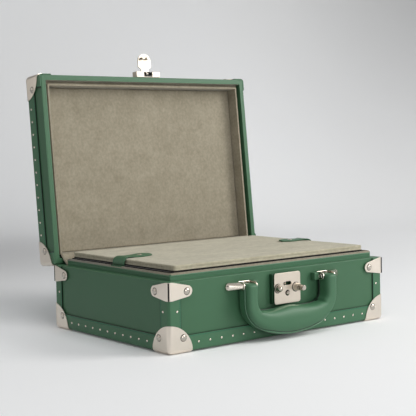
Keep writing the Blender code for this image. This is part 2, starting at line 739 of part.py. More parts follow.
def make_lock(finishes):
    half = LOCK_WIDTH / 2
    inner = half - LOCK_MARGIN
    housing = block("lock_housing", (-inner, lock_y(GAP + LOCK_HOUSING), LOCK_LOW + LOCK_MARGIN),
                    (inner, lock_y(GAP), LOCK_HIGH - LOCK_MARGIN), finishes["leather"],
                    radius=LOCK_CORNER, axis=1)
    plate_back = GAP + LOCK_HOUSING + GAP
    plate = block("lock_plate", (-half, lock_y(PLATE_FRONT), LOCK_LOW), (half, lock_y(plate_back), LOCK_HIGH),
                  finishes["nickel"], radius=LOCK_CORNER, axis=1)
    out = (0, -1, 0)
    collar = PLATE_FRONT + COLLAR_HEIGHT
    left = (-LEFT_KNOB_X, LEFT_KNOB_Z)
    right = (RIGHT_KNOB_X, RIGHT_KNOB_Z)
    middle_depth = plate_back + LOCK_PLATE / 2
    for word, (x, z) in (("left", left), ("right", right)):
        ring = rod(word + "_collar", (x, lock_y(middle_depth), z), (x, lock_y(collar), z), COLLAR_RADIUS,
                   sides=28)
        combine(plate, ring, "UNION")
    cone = [(0, 0), (0, FERRULE_RADIUS), (COLLAR_HEIGHT + LOCK_PLATE / 2, FERRULE_RADIUS),
            (FERRULE_HEIGHT, FERRULE_TIP_RADIUS), (FERRULE_HEIGHT, 0)]
    ferrule = turned("right_ferrule", cone, (right[0], lock_y(middle_depth), right[1]), out, sides=28)
    combine(plate, ferrule, "UNION")
    bore_end = GAP + LOCK_BACK
    far = PLATE_FRONT + FERRULE_HEIGHT + OVERRUN
    bores = (("left_bore", *left, LEFT_KNOB_RADIUS), ("right_bore", *right, RIGHT_KNOB_RADIUS),
             ("key_bore", 0.0, KEY_Z, KEY_RADIUS))
    for name, x, z, radius in bores:
        bore = rod(name, (x, lock_y(bore_end), z), (x, lock_y(far), z), radius + GAP)
        combine(plate, bore)
        combine(housing, bore)
    slot_half = (SLOT_WIDTH - SLOT_HEIGHT) / 2
    round_radius = SLOT_HEIGHT / 2
    outline = (arc((slot_half, SLOT_Z), round_radius, -90, 90, 6)
               + arc((-slot_half, SLOT_Z), round_radius, 90, 270, 6))
    combine(plate, extrude_outline("hasp_slot", outline, 1, lock_y(far), lock_y(GAP + LOCK_HOUSING)))
    pocket = block("hasp_pocket", (-SLOT_WIDTH / 2 - GAP, lock_y(far), SLOT_Z - round_radius),
                   (SLOT_WIDTH / 2 + GAP, lock_y(bore_end), SLOT_Z + round_radius))
    combine(housing, pocket)
    block("latch_bolt", (-BOLT_WIDTH / 2, lock_y(bore_end + GAP + BOLT_DEPTH), SLOT_Z - BOLT_HEIGHT / 2 + GAP),
          (BOLT_WIDTH / 2, lock_y(bore_end + GAP), SLOT_Z + BOLT_HEIGHT / 2 - GAP), finishes["steel"])
    make_knobs(bore_end, left, right, finishes)


def make_knobs(bore_end, left, right, finishes):
    out = (0, -1, 0)
    radius = LEFT_KNOB_RADIUS
    inner = bore_end + GAP + LEFT_KNOB_TRAVEL
    reach = PLATE_FRONT + LEFT_KNOB_REACH - inner
    dome = [(0, 0), (0, radius), (reach - radius, radius)]
    dome += [(reach - radius + radius * math.sin(math.radians(a)), radius * math.cos(math.radians(a)))
             for a in (25, 50, 72)]
    dome.append((reach, 0))
    turned("lock_knob_left", dome, (left[0], lock_y(inner), left[1]), out, finishes["nickel"])
    radius = RIGHT_KNOB_RADIUS
    inner = bore_end + GAP + RIGHT_KNOB_TRAVEL
    reach = PLATE_FRONT + RIGHT_KNOB_REACH - inner
    ease = radius / 5
    plunger = [(0, 0), (0, radius), (reach - ease, radius), (reach, radius - ease), (reach, 0)]
    turned("lock_knob_right", plunger, (right[0], lock_y(inner), right[1]), out, finishes["nickel"])
    radius = KEY_RADIUS
    inner = bore_end + GAP
    reach = PLATE_FRONT + KEY_REACH - inner
    ease = radius / 3
    barrel = [(0, 0), (0, radius), (reach - ease, radius), (reach, radius - ease), (reach, 0)]
    key = turned("key_cylinder", barrel, (0, lock_y(inner), KEY_Z), out, finishes["nickel"])
    face = PLATE_FRONT + KEY_REACH
    keyhole = block("keyhole", (-KEYHOLE_WIDTH / 2, lock_y(face + OVERRUN), KEY_Z - KEYHOLE_HEIGHT / 2),
                    (KEYHOLE_WIDTH / 2, lock_y(face - KEYHOLE_DEPTH), KEY_Z + KEYHOLE_HEIGHT / 2))
    combine(key, keyhole)


def make_mount(word, side, finishes):
    """A nickel loop that holds one end of the handle, with a fairing outside it and a short block
    inside it, in one casting."""
    fairing_end = MOUNT_OUTER + FAIRING_LENGTH
    plan = [(MOUNT_INNER - MOUNT_BLOCK, 0), (MOUNT_INNER - MOUNT_BLOCK, MOUNT_BLOCK_DEPTH * 0.8),
            (MOUNT_INNER - MOUNT_BLOCK * 0.8, MOUNT_BLOCK_DEPTH), (MOUNT_INNER, MOUNT_BLOCK_DEPTH),
            (MOUNT_INNER, MOUNT_DEPTH), (MOUNT_INNER + MOUNT_LEG, MOUNT_DEPTH),
            (MOUNT_INNER + MOUNT_LEG, MOUNT_BACK), (MOUNT_OUTER - MOUNT_LEG, MOUNT_BACK),
            (MOUNT_OUTER - MOUNT_LEG, MOUNT_DEPTH), (MOUNT_OUTER, MOUNT_DEPTH), (MOUNT_OUTER, FAIRING_DEPTH),
            (fairing_end - FAIRING_END_DEPTH / 2, FAIRING_END_DEPTH),
            (fairing_end - FAIRING_END_DEPTH / 8, FAIRING_END_DEPTH * 0.75),
            (fairing_end, FAIRING_END_DEPTH / 2), (fairing_end, 0)]
    outline = [(side * x, lock_y(GAP + depth)) for x, depth in plan]
    mount = extrude_outline("handle_mount_" + word, outline, 2, MOUNT_LOW, MOUNT_HIGH, finishes["nickel"])
    far = MOUNT_DEPTH + OVERRUN
    start = MOUNT_INNER - MOUNT_BLOCK - OVERRUN
    middle = fairing_end - FAIRING_ROUND
    front = [(start, MOUNT_LOW - OVERRUN), (middle - FAIRING_ROUND, MOUNT_LOW - OVERRUN)]
    front += arc((middle, MOUNT_LOW + FAIRING_ROUND), FAIRING_ROUND, -90, 0, 5)
    front += arc((middle, MOUNT_HIGH - FAIRING_ROUND), FAIRING_ROUND, 0, 90, 5)
    front += [(middle - FAIRING_ROUND, MOUNT_HIGH + OVERRUN), (start, MOUNT_HIGH + OVERRUN)]
    rounded = [(side * x, z) for x, z in front]
    combine(mount, extrude_outline("fairing_round_" + word, rounded, 1, lock_y(far), lock_y(-OVERRUN)),
            "INTERSECT")
    ease_edges(mount, MOUNT_EASE)
    groove_start = MOUNT_OUTER + MOUNT_LEG / 2
    shoulder = fairing_end - (FAIRING_END_DEPTH + FAIRING_GROOVE) / 2
    groove = [(groove_start, FAIRING_DEPTH - FAIRING_GROOVE), (shoulder, FAIRING_END_DEPTH - FAIRING_GROOVE),
              (fairing_end - FAIRING_GROOVE, FAIRING_END_DEPTH / 2), (fairing_end - FAIRING_GROOVE, -OVERRUN),
              (fairing_end + OVERRUN, -OVERRUN), (fairing_end + OVERRUN, FAIRING_DEPTH + OVERRUN),
              (groove_start, FAIRING_DEPTH + OVERRUN)]
    outline = [(side * x, lock_y(GAP + depth)) for x, depth in groove]
    combine(mount, extrude_outline("fairing_groove_" + word, outline, 2, HANDLE_PIN_Z - FAIRING_GROOVE / 2,
                                   HANDLE_PIN_Z + FAIRING_GROOVE / 2))
    y = lock_y(HANDLE_PIN_OUT)
    pin_start = side * (MOUNT_INNER - MOUNT_LEG / 2)
    pin_end = side * (MOUNT_OUTER + MOUNT_LEG)
    bore_start = side * (MOUNT_INNER - OVERRUN)
    bore_end = side * (MOUNT_OUTER + MOUNT_LEG + GAP)
    combine(mount, rod("mount_bore_" + word, (bore_start, y, HANDLE_PIN_Z), (bore_end, y, HANDLE_PIN_Z),
                       HANDLE_PIN_RADIUS + PIN_CLEARANCE))
    rod("handle_pin_" + word, (pin_start, y, HANDLE_PIN_Z), (pin_end, y, HANDLE_PIN_Z), HANDLE_PIN_RADIUS,
        finishes["nickel"])


def handle_path(runs=5, turns=24):
    """The handle's middle line in the plane of its welt: straight down from each end, then a
    superellipse under. Gives (x, z, outward x, outward z, share of the way from an end to the middle)."""
    power = 2 / HANDLE_BEND_POWER_SHARE
    drop = HANDLE_BEND_Z - HANDLE_LOW - HANDLE_GRIP_HEIGHT / 2
    points = [(-HANDLE_END_X, HANDLE_TOP + (HANDLE_BEND_Z - HANDLE_TOP) * i / runs) for i in range(runs)]
    for i in range(turns + 1):
        angle = math.pi * i / turns
        x = -math.copysign(abs(math.cos(angle)) ** power, math.cos(angle)) * HANDLE_END_X
        points.append((x, HANDLE_BEND_Z - drop * abs(math.sin(angle)) ** power))
    points += [(-x, z) for x, z in reversed(points[:runs])]
    return points


def handle_section(width, thick, sides=16):
    """Half-round padding on both faces, with the sewn welt as a ridge on the outer edge. Gives
    (outward, y) offsets from the middle line."""
    section = []
    for i in range(sides):
        angle = 2 * math.pi * i / sides
        across = math.copysign(abs(math.cos(angle)) ** 0.85, math.cos(angle)) * width / 2
        through = math.copysign(abs(math.sin(angle)) ** 0.85, math.sin(angle)) * thick / 2
        if i == 0:
            across += HANDLE_WELT
        section.append((across, through))
    return section


def make_handle(finishes):
    points = handle_path()
    end_half = HANDLE_END_WIDTH / 2
    cap_length = end_half * 0.9
    bm = bmesh.new()
    rings = []
    for index, (x, z) in enumerate(points):
        before = points[max(index - 1, 0)]
        after = points[min(index + 1, len(points) - 1)]
        along = Vector((after[0] - before[0], after[1] - before[1])).normalized()
        outward = Vector((along.y, -along.x))
        nearness = 1 - min(abs(x) / HANDLE_END_X, 1.0) ** HANDLE_SWELL_SHARE
        width = HANDLE_END_WIDTH + (HANDLE_GRIP_HEIGHT - HANDLE_END_WIDTH) * nearness
        thick = HANDLE_END_THICK + (HANDLE_GRIP_THICK - HANDLE_END_THICK) * nearness
        height_left = HANDLE_TOP - z
        squeeze = 1.0
        if height_left < cap_length:
            squeeze = math.sqrt(max(1 - (1 - height_left / cap_length) ** 2, 0.05))
        ring = []
        for across, through in handle_section(width * (0.55 + 0.45 * squeeze), thick * squeeze):
            place = Vector((x, z)) + outward * across
            ring.append(bm.verts.new((place.x, lock_y(HANDLE_OUT) + through, place.y)))
        rings.append(ring)
    for first, second in zip(rings, rings[1:]):
        for i in range(len(first)):
            j = (i + 1) % len(first)
            bm.faces.new([first[i], first[j], second[j], second[i]])
    bm.faces.new(rings[0])
    bm.faces.new(rings[-1])
    handle = finish_mesh(bm, "handle", finishes["handle"], 60)
    y = lock_y(HANDLE_PIN_OUT)
    for word, side in SIDES.items():
        start = (side * (MOUNT_INNER - OVERRUN), y, HANDLE_PIN_Z)
        end = (side * (MOUNT_OUTER + OVERRUN), y, HANDLE_PIN_Z)
        combine(handle, rod("handle_bore_" + word, start, end, HANDLE_PIN_RADIUS + PIN_CLEARANCE))


def make_hinge(word, side, finishes, on_lid):
    """A butt hinge on the back faces, its knuckles let into the edges of the base and the lid. The
    lower leaf has the odd knuckles and the upper leaf the even ones, and each leaf is relieved round
    the other's knuckles."""
    x_low = side * HINGE_X - LEAF_WIDTH / 2
    knuckle = LEAF_WIDTH / KNUCKLES
    leaves = {}
    for name, z_far in (("lower", HINGE_Z - LEAF_HEIGHT), ("upper", HINGE_Z + LEAF_HEIGHT)):
        z_near = HINGE_Z - LID_GAP if name == "lower" else HINGE_Z + LID_GAP
        low, high = sorted((z_far, z_near))
        leaf = block("hinge_%s_leaf_%s" % (name, word), (x_low, BACK + GAP, low),
                     (x_low + LEAF_WIDTH, BACK + GAP + LEAF, high), finishes["nickel"])
        leaves[name] = leaf
    tools = {"lower": [], "upper": []}
    for index in range(KNUCKLES):
        owner, other = ("lower", "upper") if index % 2 == 0 else ("upper", "lower")
        start = x_low + index * knuckle
        space = rod("knuckle_space_%s_%d" % (word, index), (start - GAP, HINGE_Y, HINGE_Z),
                    (start + knuckle + GAP, HINGE_Y, HINGE_Z), KNUCKLE_RADIUS + GAP, sides=24)
        combine(leaves[other], space)
        tools[other].append(space)
    for index in range(KNUCKLES):
        owner = "lower" if index % 2 == 0 else "upper"
        start = x_low + index * knuckle
        first = start + (GAP / 2 if index > 0 else 0)
        last = start + knuckle - (GAP / 2 if index < KNUCKLES - 1 else 0)
        tube = rod("knuckle_%s_%d" % (word, index), (first, HINGE_Y, HINGE_Z), (last, HINGE_Y, HINGE_Z),
                   KNUCKLE_RADIUS, sides=24)
        combine(leaves[owner], tube, "UNION")
        tools[owner].append(tube)
    for owner, leaf in leaves.items():
        bore = rod("hinge_bore_%s_%s" % (owner, word), (x_low - OVERRUN, HINGE_Y, HINGE_Z),
                   (x_low + LEAF_WIDTH + OVERRUN, HINGE_Y, HINGE_Z), HINGE_PIN_RADIUS + PIN_CLEARANCE)
        combine(leaf, bore)
        tools[owner].append(bore)
    rod("hinge_pin_" + word, (x_low, HINGE_Y, HINGE_Z), (x_low + LEAF_WIDTH, HINGE_Y, HINGE_Z),
        HINGE_PIN_RADIUS, finishes["steel"])
    on_lid(leaves["upper"], *tools["upper"])
    for owner in ("base", "lid"):
        recess = rod("%s_recess_%s" % (owner, word), (x_low - GAP, HINGE_Y, HINGE_Z),
                     (x_low + LEAF_WIDTH + GAP, HINGE_Y, HINGE_Z), KNUCKLE_RADIUS + GAP, sides=24)
        combine(bpy.data.objects[owner + "_shell"], recess)
        if owner == "lid":
            on_lid(recess)


def make_lid_lining(finishes, on_lid):
    liner = case_ring("lid_liner", LID_LINER_INSET, LID_LINER_INSET + LID_LINER, RIM + LID_LINER_RECESS,
                      LID_CEILING - GAP, finishes["suede"])
    on_lid(liner, bpy.data.objects["lid_liner_inside"])
    half = HALF_WIDTH - LINING_INSET
    pad = make_pad("lid_lining", half, FRONT + LINING_INSET, BACK - LINING_INSET, LID_CEILING - GAP,
                   LINING_FACE, LINING_CROWN, RIM_RADIUS, finishes["suede"], 12, 8)
    on_lid(pad)


def open_place(y, z):
    """Where a point of the closed lid lies once the lid is open, as (y, z)."""
    dy, dz = y - HINGE_Y, z - HINGE_Z
    cosine, sine = math.cos(OPEN_ANGLE), math.sin(OPEN_ANGLE)
    return HINGE_Y + dy * cosine + dz * sine, HINGE_Z - dy * sine + dz * cosine


def make_flap(finishes, steps=6):
    """The suede flap that covers the hinge side, from the lid's rear lining board down to the base's
    rear lining board, with a little sag."""
    top = Vector(open_place(BACK - LID_LINER_INSET - LID_LINER, RIM + LID_LINER_RECESS))
    board_face = open_place(BACK - LID_LINER_INSET, RIM + LID_LINER_RECESS)
    top = (top + Vector(board_face)) / 2 - Vector((GAP + FLAP / 2, 0))
    low = Vector((BACK - LINER_INSET - LINER / 2, BASE_TOP + FLAP / 2))
    half = HALF_WIDTH - LINER_INSET - LINER
    line = []
    for i in range(steps + 1):
        share = i / steps
        place = low.lerp(top, share)
        line.append(place - Vector((0, FLAP_SAG * math.sin(math.pi * share))))
    bm = bmesh.new()
    rings = []
    for i, place in enumerate(line):
        along = (line[min(i + 1, steps)] - line[max(i - 1, 0)]).normalized()
        normal = Vector((-along.y, along.x)) * FLAP / 2
        ring = []
        for sign, x in ((1, -half), (1, half), (-1, half), (-1, -half)):
            spot = place + sign * normal
            ring.append(bm.verts.new((x, spot.x, spot.y)))
        rings.append(ring)
    for first, second in zip(rings, rings[1:]):
        for i in range(4):
            j = (i + 1) % 4
            bm.faces.new([first[i], first[j], second[j], second[i]])
    bm.faces.new(rings[0])
    bm.faces.new(rings[-1])
    finish_mesh(bm, "hinge_flap", finishes["suede"])


def make_hasp(finishes, on_lid, on_tongue):
    half = HASP_WIDTH / 2
    mouth = HASP_MOUTH / 2
    top = HASP_LOW + HASP_HEIGHT
    base = block("hasp_base", (-half, lock_y(GAP + HASP_PROUD), HASP_LOW), (half, lock_y(GAP), top),
                 finishes["nickel"])
    cut = block("hasp_mouth", (-mouth, lock_y(GAP + HASP_PROUD + OVERRUN), HASP_LOW - OVERRUN),
                (mouth, lock_y(GAP + HASP_PLATE), top + OVERRUN))
    combine(base, cut)
    ease_edges(base, HASP_EASE)
    y = lock_y(HASP_PIN_OUT)
    grip = (half + mouth) / 2
    bore = rod("hasp_bore", (-grip - GAP, y, HASP_PIN_Z), (grip + GAP, y, HASP_PIN_Z),
               HASP_PIN_RADIUS + PIN_CLEARANCE)
    combine(base, bore)
    pin = rod("hasp_pin", (-grip, y, HASP_PIN_Z), (grip, y, HASP_PIN_Z), HASP_PIN_RADIUS, finishes["steel"])
    on_lid(base, cut, bore, pin)

    inner = PLATE_FRONT + TONGUE_CLEARANCE
    tip_radius = TONGUE_WIDTH / 2
    tip_z = HASP_PIN_Z - TONGUE_LENGTH + tip_radius
    neck_z = HASP_PIN_Z - TONGUE_NECK_LENGTH
    neck = TONGUE_NECK / 2
    root_z = HASP_PIN_Z + HASP_EYE_RADIUS * 0.6
    outline = [(neck, root_z), (-neck, root_z), (-neck, neck_z),
               (-tip_radius, neck_z - (tip_radius - neck) * 0.6)]
    outline += arc((0, tip_z), tip_radius, 180, 360, 14)
    outline += [(tip_radius, neck_z - (tip_radius - neck) * 0.6), (neck, neck_z)]
    tongue = extrude_outline("hasp_tongue", outline, 1, lock_y(inner + TONGUE), lock_y(inner),
                             finishes["nickel"])
    eye = rod("hasp_eye", (-neck, y, HASP_PIN_Z), (neck, y, HASP_PIN_Z), HASP_EYE_RADIUS, sides=24)
    web = block("hasp_web", (-neck, lock_y(inner + TONGUE / 2), HASP_PIN_Z - HASP_EYE_RADIUS * 0.7),
                (neck, y, root_z))
    combine(tongue, web, "UNION")
    combine(tongue, eye, "UNION")
    tools = [web, eye]
    for word, side in SIDES.items():
        x = side * PRONG_SPACING / 2
        prong = block("prong_" + word,
                      (x - PRONG_WIDTH / 2, lock_y(inner + TONGUE / 2), SLOT_Z - PRONG_HEIGHT / 2),
                      (x + PRONG_WIDTH / 2, lock_y(inner - PRONG_LENGTH), SLOT_Z + PRONG_HEIGHT / 2))
        combine(tongue, prong, "UNION")
        tools.append(prong)
    hole = rod("tongue_bore", (-neck - OVERRUN, y, HASP_PIN_Z), (neck + OVERRUN, y, HASP_PIN_Z),
               HASP_PIN_RADIUS + PIN_CLEARANCE)
    combine(tongue, hole)
    on_tongue(tongue, hole, *tools)


def swing(name, place, angle, parent=None):
    """An empty on a joint's axis, turned about X, and a function that hangs closed-lid pieces on it."""
    pivot = bpy.data.objects.new(name, None)
    bpy.context.scene.collection.objects.link(pivot)
    pivot.location = place
    pivot.rotation_euler = (-angle, 0, 0)
    home = Matrix.Translation(-Vector(place))
    if parent is not None:
        pivot.parent = parent[0]
        pivot.location = Vector(place) - Vector(parent[1])

    def hang(*items):
        for item in items:
            item.parent = pivot
            item.matrix_parent_inverse = home
    return pivot, hang


def main():
    clear_scene()
    finishes = make_materials()
    lid_place = (0, HINGE_Y, HINGE_Z)
    lid_pivot, on_lid = swing("lid_hinge", lid_place, OPEN_ANGLE)
    tongue_place = (0, lock_y(HASP_PIN_OUT), HASP_PIN_Z)
    tongue_pivot, on_tongue = swing("tongue_hinge", tongue_place, TONGUE_OPEN_ANGLE, (lid_pivot, lid_place))

    make_base_shell(finishes)
    make_binding("base_edge_binding", CASE_BOTTOM, BASE_TOP - GAP, finishes["binding"])
    make_lid_shell(finishes, on_lid)
    on_lid(*make_binding("lid_edge_binding", LID_TOP, RIM + GAP, finishes["binding"], HINGE_STRIP_CLEARANCE))
    for word, (side_x, side_y) in CORNERS.items():
        make_cap("base_cap_" + word, side_x, side_y, CASE_BOTTOM, 1, finishes["nickel"])
        on_lid(*make_cap("lid_cap_" + word, side_x, side_y, LID_TOP, -1, finishes["nickel"]))
        make_bracket("base_bracket_" + word, side_x, side_y, finishes["nickel"])
    make_lip(finishes)
    make_tray(finishes)
    places, cell = make_divider(finishes)
    make_cushions(places, cell, finishes)
    make_cover_panel(finishes)
    make_straps(finishes)
    make_lock(finishes)
    for word, side in SIDES.items():
        make_mount(word, side, finishes)
        make_hinge(word, side, finishes, on_lid)
    make_handle(finishes)
    make_lid_lining(finishes, on_lid)
    make_flap(finishes)
    make_hasp(finishes, on_lid, on_tongue)


main()
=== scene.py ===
"""Looks of the watch briefcase: green grained leather, nickel corners and lock, a padded leather
handle, stone suede inside, nails and rivets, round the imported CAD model.

Lengths are metres in the CAD's own frame: X across the front, Y from the front to the hinges, Z up.
"""

import json
import math

import bmesh
import bpy
import numpy as np
from mathutils import Matrix, Vector


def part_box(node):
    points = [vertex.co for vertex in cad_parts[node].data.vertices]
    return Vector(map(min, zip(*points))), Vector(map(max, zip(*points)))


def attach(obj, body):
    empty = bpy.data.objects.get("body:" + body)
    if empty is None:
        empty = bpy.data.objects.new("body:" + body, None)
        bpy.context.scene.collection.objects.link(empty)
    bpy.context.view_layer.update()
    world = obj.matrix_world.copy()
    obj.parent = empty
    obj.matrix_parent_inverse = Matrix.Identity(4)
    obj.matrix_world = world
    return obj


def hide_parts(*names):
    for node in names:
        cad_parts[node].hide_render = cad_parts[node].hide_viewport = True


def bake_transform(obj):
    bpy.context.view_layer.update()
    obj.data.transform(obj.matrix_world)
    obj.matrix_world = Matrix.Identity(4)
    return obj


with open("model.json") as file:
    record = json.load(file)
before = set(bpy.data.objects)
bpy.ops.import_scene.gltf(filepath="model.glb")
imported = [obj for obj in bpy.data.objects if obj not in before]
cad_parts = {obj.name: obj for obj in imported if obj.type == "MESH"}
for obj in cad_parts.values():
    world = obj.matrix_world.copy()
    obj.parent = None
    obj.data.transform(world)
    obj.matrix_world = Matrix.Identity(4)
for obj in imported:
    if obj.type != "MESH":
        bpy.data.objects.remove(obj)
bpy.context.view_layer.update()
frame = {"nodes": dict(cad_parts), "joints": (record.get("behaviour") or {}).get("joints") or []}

SCENE = bpy.context.scene
MM = 0.001


def mm(*values):
    """Millimetres as an array of metres."""
    return np.array(values, float) * MM


# Places read from the CAD
(_, FRONT, BASE_BOTTOM), (HALF_WIDTH, BACK, BASE_TOP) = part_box("base_shell")
EDGE_Y = {-1: FRONT, 1: BACK}
MIDDLE_Y = (FRONT + BACK) / 2
MOUNT_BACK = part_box("handle_mount_left")[1][1]
LID_HINGE = next(joint for joint in frame["joints"] if joint["name"] == "lid_hinge")
HINGE = np.array(LID_HINGE["pos_m"], float)
OPEN_ANGLE = math.radians(-LID_HINGE["range_deg"][0])
SIDES = {"left": -1, "right": 1}
CORNERS = ((-1, -1), (1, -1), (-1, 1), (1, 1))

# The view: its place from the base's front-left corner, yaw, pitch and roll, and focal length
CAMERA_OFFSET = (-0.783422, -1.078691, 0.275377)
CAMERA_ANGLES = (38.26177591, 3.65249730, -1.14137719)
FOCAL_PIXELS = 1044.2160
PHOTO_WIDTH = 416
SENSOR = 36

# Leather and nickel trim
STRIP_OUT = 1.7 * MM
STRIP_HEIGHT = 20.5 * MM
CORNER_STRIP = 17.5 * MM
BASE_PAINT_WIDTH = 0.6 * MM
LID_PAINT_WIDTH = 1.3 * MM
STITCH_PITCH = 2.8 * MM
STITCH_LENGTH = 1.7 * MM
THREAD_WIDTH = 0.6 * MM
STITCH_INSET = 1.4 * MM
BRACKET_CLEAR = 1.0 * MM
BRACKET_FOLD_HEIGHT = 24.3 * MM
CAP_OUT = 3.0 * MM
CAP_CORNER_RADIUS = 6.5 * MM
FOLD_LINE = 1.6 * MM
LID_WALL = 8.0 * MM
PLATE_OUT = 1.5 * MM

# Nails and rivets. A profile lists (radius, height) from the rim to the crown
NAIL_HEIGHT = 13.0 * MM
LID_NAIL_DROP = 9.0 * MM
CORNER_NAIL = (11.5 * MM, 56 * MM)
CAP_RIVET = (20.0 * MM, 18.0 * MM)
BRACKET_RIVET = (27.0 * MM, BASE_TOP - 13.6 * MM)
NAIL_TURN = np.linspace(0, 0.465 * math.pi, 4)
NAIL_PROFILE = mm((1.75, -0.3), *zip(1.75 * np.cos(NAIL_TURN), np.sin(NAIL_TURN)))
RIVET_PROFILE = mm((4.6, -0.3), (4.6, 0.25), (4.3, 0.7), (3.6, 1.2), (2.5, 1.65), (1.2, 1.9), (0.3, 1.95))
SEAT_PROFILE = mm((5.0, -0.3), (5.0, 0.12), (4.5, 0.16))

# Handle, its mounts and the straps
HANDLE_OUT = 14.5 * MM
HANDLE_END_X = 74.6 * MM
WELT_RADIUS = 0.95 * MM
MOUNT_LOW = 74.0 * MM
MOUNT_HIGH = 85.4 * MM
PIN_OUT = 10.7 * MM
PIN_HEIGHT = 79.5 * MM
STRAP_THICK = 1.8 * MM
STRAP_REACH = 55.0 * MM
STRAP_BEND = 8.5 * MM
STRAP_RISE = 0.3 * MM
STRAP_LEAN = 0.09

# Sections of (outward, up) along the rims of the lip and of the liner
CORD_TURN = np.linspace(0, 2 * math.pi, 14, endpoint=False)
LIP_PIPING = np.stack([-0.35 + 1.05 * np.cos(CORD_TURN), -1.8 + 1.05 * np.sin(CORD_TURN)], -1) * MM
LIP_SUEDE = mm((-0.9, 0.2), (0.15, 0.2), (0.35, 0.0), (0.35, -0.95), (0.1, -1.1), (-0.9, -1.1))
LINER_EDGE = mm((-0.95, -0.6), (-0.95, -0.1), (-0.7, 0.12), (0.0, 0.12), (0.3, -0.15), (0.3, -1.45),
                (-0.2, -1.45))


# Small formulas

def soft(value, power):
    """A sine or cosine drawn towards a square: its sign times a power of its size."""
    return np.sign(value) * np.abs(value) ** power


def smooth(value):
    """A value clipped to 0 and 1, with an even start and end."""
    value = np.clip(value, 0, 1)
    return value * value * (3 - 2 * value)


def bell(value):
    return np.exp(-value ** 2)


def circle(sides):
    return np.linspace(0, 2 * math.pi, sides, endpoint=False)


def unit(vectors):
    return vectors / np.linalg.norm(vectors, axis=-1, keepdims=True)


def normals(line):
    """Unit vectors square to a plane line, on its left."""
    tangent = unit(np.gradient(line, axis=0))
    return np.stack([-tangent[:, 1], tangent[:, 0]], -1)


def beside(line, normal, amount):
    """Both coordinates of the points line + normal * amount: a row for each point of the line."""
    return [line[:, axis, None] + normal[:, axis, None] * amount for axis in (0, 1)]


def merge(x, y, z):
    return np.stack(np.broadcast_arrays(x, y, z), -1)


def open_lid(points, angle=OPEN_ANGLE):
    """Points turned about the hinge line: from the closed lid to where they lie at rest."""
    points = np.array(points, float)
    y, z = points[..., 1] - HINGE[1], points[..., 2] - HINGE[2]
    points[..., 1] = HINGE[1] + y * math.cos(angle) + z * math.sin(angle)
    points[..., 2] = HINGE[2] - y * math.sin(angle) + z * math.cos(angle)
    return points


def read_points(mesh):
    points = np.empty(len(mesh.vertices) * 3)
    mesh.vertices.foreach_get("co", points)
    return points.reshape(-1, 3)


def write_points(mesh, points):
    mesh.vertices.foreach_set("co", points.ravel())
    mesh.update()


def closed_lid_box(node):
    """A lid node's box in the closed lid's frame, from its points at rest."""
    closed = open_lid(read_points(frame["nodes"][node].data), -OPEN_ANGLE)
    return closed.min(0), closed.max(0)


LID_TOP = closed_lid_box("lid_shell")[1][2]


# Camera and light

def new_object(name, data):
    item = bpy.data.objects.new(name, data)
    SCENE.collection.objects.link(item)
    return item


def set_values(item, **settings):
    for key, value in settings.items():
        setattr(item, key, value)
    return item


def place_camera():
    """The photograph's view."""
    spot = Vector((-HALF_WIDTH - MM, FRONT - MM, 0)) + Vector(CAMERA_OFFSET)
    yaw, pitch, roll = (math.radians(angle) for angle in CAMERA_ANGLES)
    ahead = Vector((math.sin(yaw) * math.cos(pitch), math.cos(yaw) * math.cos(pitch), -math.sin(pitch)))
    level = Vector((math.cos(yaw), -math.sin(yaw), 0))
    above = level.cross(ahead)
    right = math.cos(roll) * level + math.sin(roll) * above
    up = math.cos(roll) * above - math.sin(roll) * level
    lens = SENSOR * FOCAL_PIXELS / PHOTO_WIDTH
    camera = new_object("camera", set_values(bpy.data.cameras.new("camera"), sensor_width=SENSOR, lens=lens))
    camera.matrix_world = Matrix.Translation(spot) @ Matrix((right, up, -ahead)).transposed().to_4x4()
    SCENE.camera = camera


def softbox(name, place, size, power, colour=(1, 1, 1), mirrored=True):
    """A rectangular lamp that faces the middle of the case."""
    lamp = set_values(bpy.data.lights.new(name, "AREA"), shape="RECTANGLE", size=size[0], size_y=size[1],
                      energy=power, color=colour)
    aim = (Vector((0, 0, 0.15)) - Vector(place)).to_track_quat("-Z", "Y")
    set_values(new_object(name, lamp), visible_glossy=mirrored, location=place, rotation_mode="QUATERNION",
               rotation_quaternion=aim)


def surround():
    """A plain fill for diffuse light, and a room with a dark flag to the left and a grey ceiling,
    which only the camera and shiny surfaces see."""
    world = bpy.data.worlds.new("studio")
    world.use_nodes = True
    tree = world.node_tree
    fill = tree.nodes["Background"]
    set_inputs(tree, fill, {"Color": (0.9, 0.91, 0.92, 1), "Strength": 0.34})
    heading = add_node(tree, "TexCoord").outputs["Generated"]
    flag = Vector((-0.86, -0.50, 0.10)).normalized()
    near = add_node(tree, "VectorMath", {0: heading, 1: flag}, operation="DOT_PRODUCT").outputs["Value"]
    inside = add_node(tree, "MapRange", {0: near, 1: 0.90, 2: 0.975}, interpolation_type="SMOOTHSTEP")
    walls = mix_colours(tree, inside.outputs[0], (0.90, 0.88, 0.85, 1), (0.02, 0.025, 0.02, 1))
    rise = add_node(tree, "SeparateXYZ", {0: heading}).outputs["Z"]
    high = add_node(tree, "MapRange", {0: rise, 1: 0.45, 2: 0.85, 4: 0.45}, interpolation_type="SMOOTHSTEP")
    walls = mix_colours(tree, high.outputs[0], walls, (0.16, 0.16, 0.16, 1))
    room = add_node(tree, "Background", {"Color": walls, "Strength": 0.9})
    mixed = add_node(tree, "MixShader", {0: seen_directly(tree), 1: fill.outputs[0], 2: room.outputs[0]})
    tree.links.new(mixed.outputs[0], tree.nodes["World Output"].inputs["Surface"])
    return world


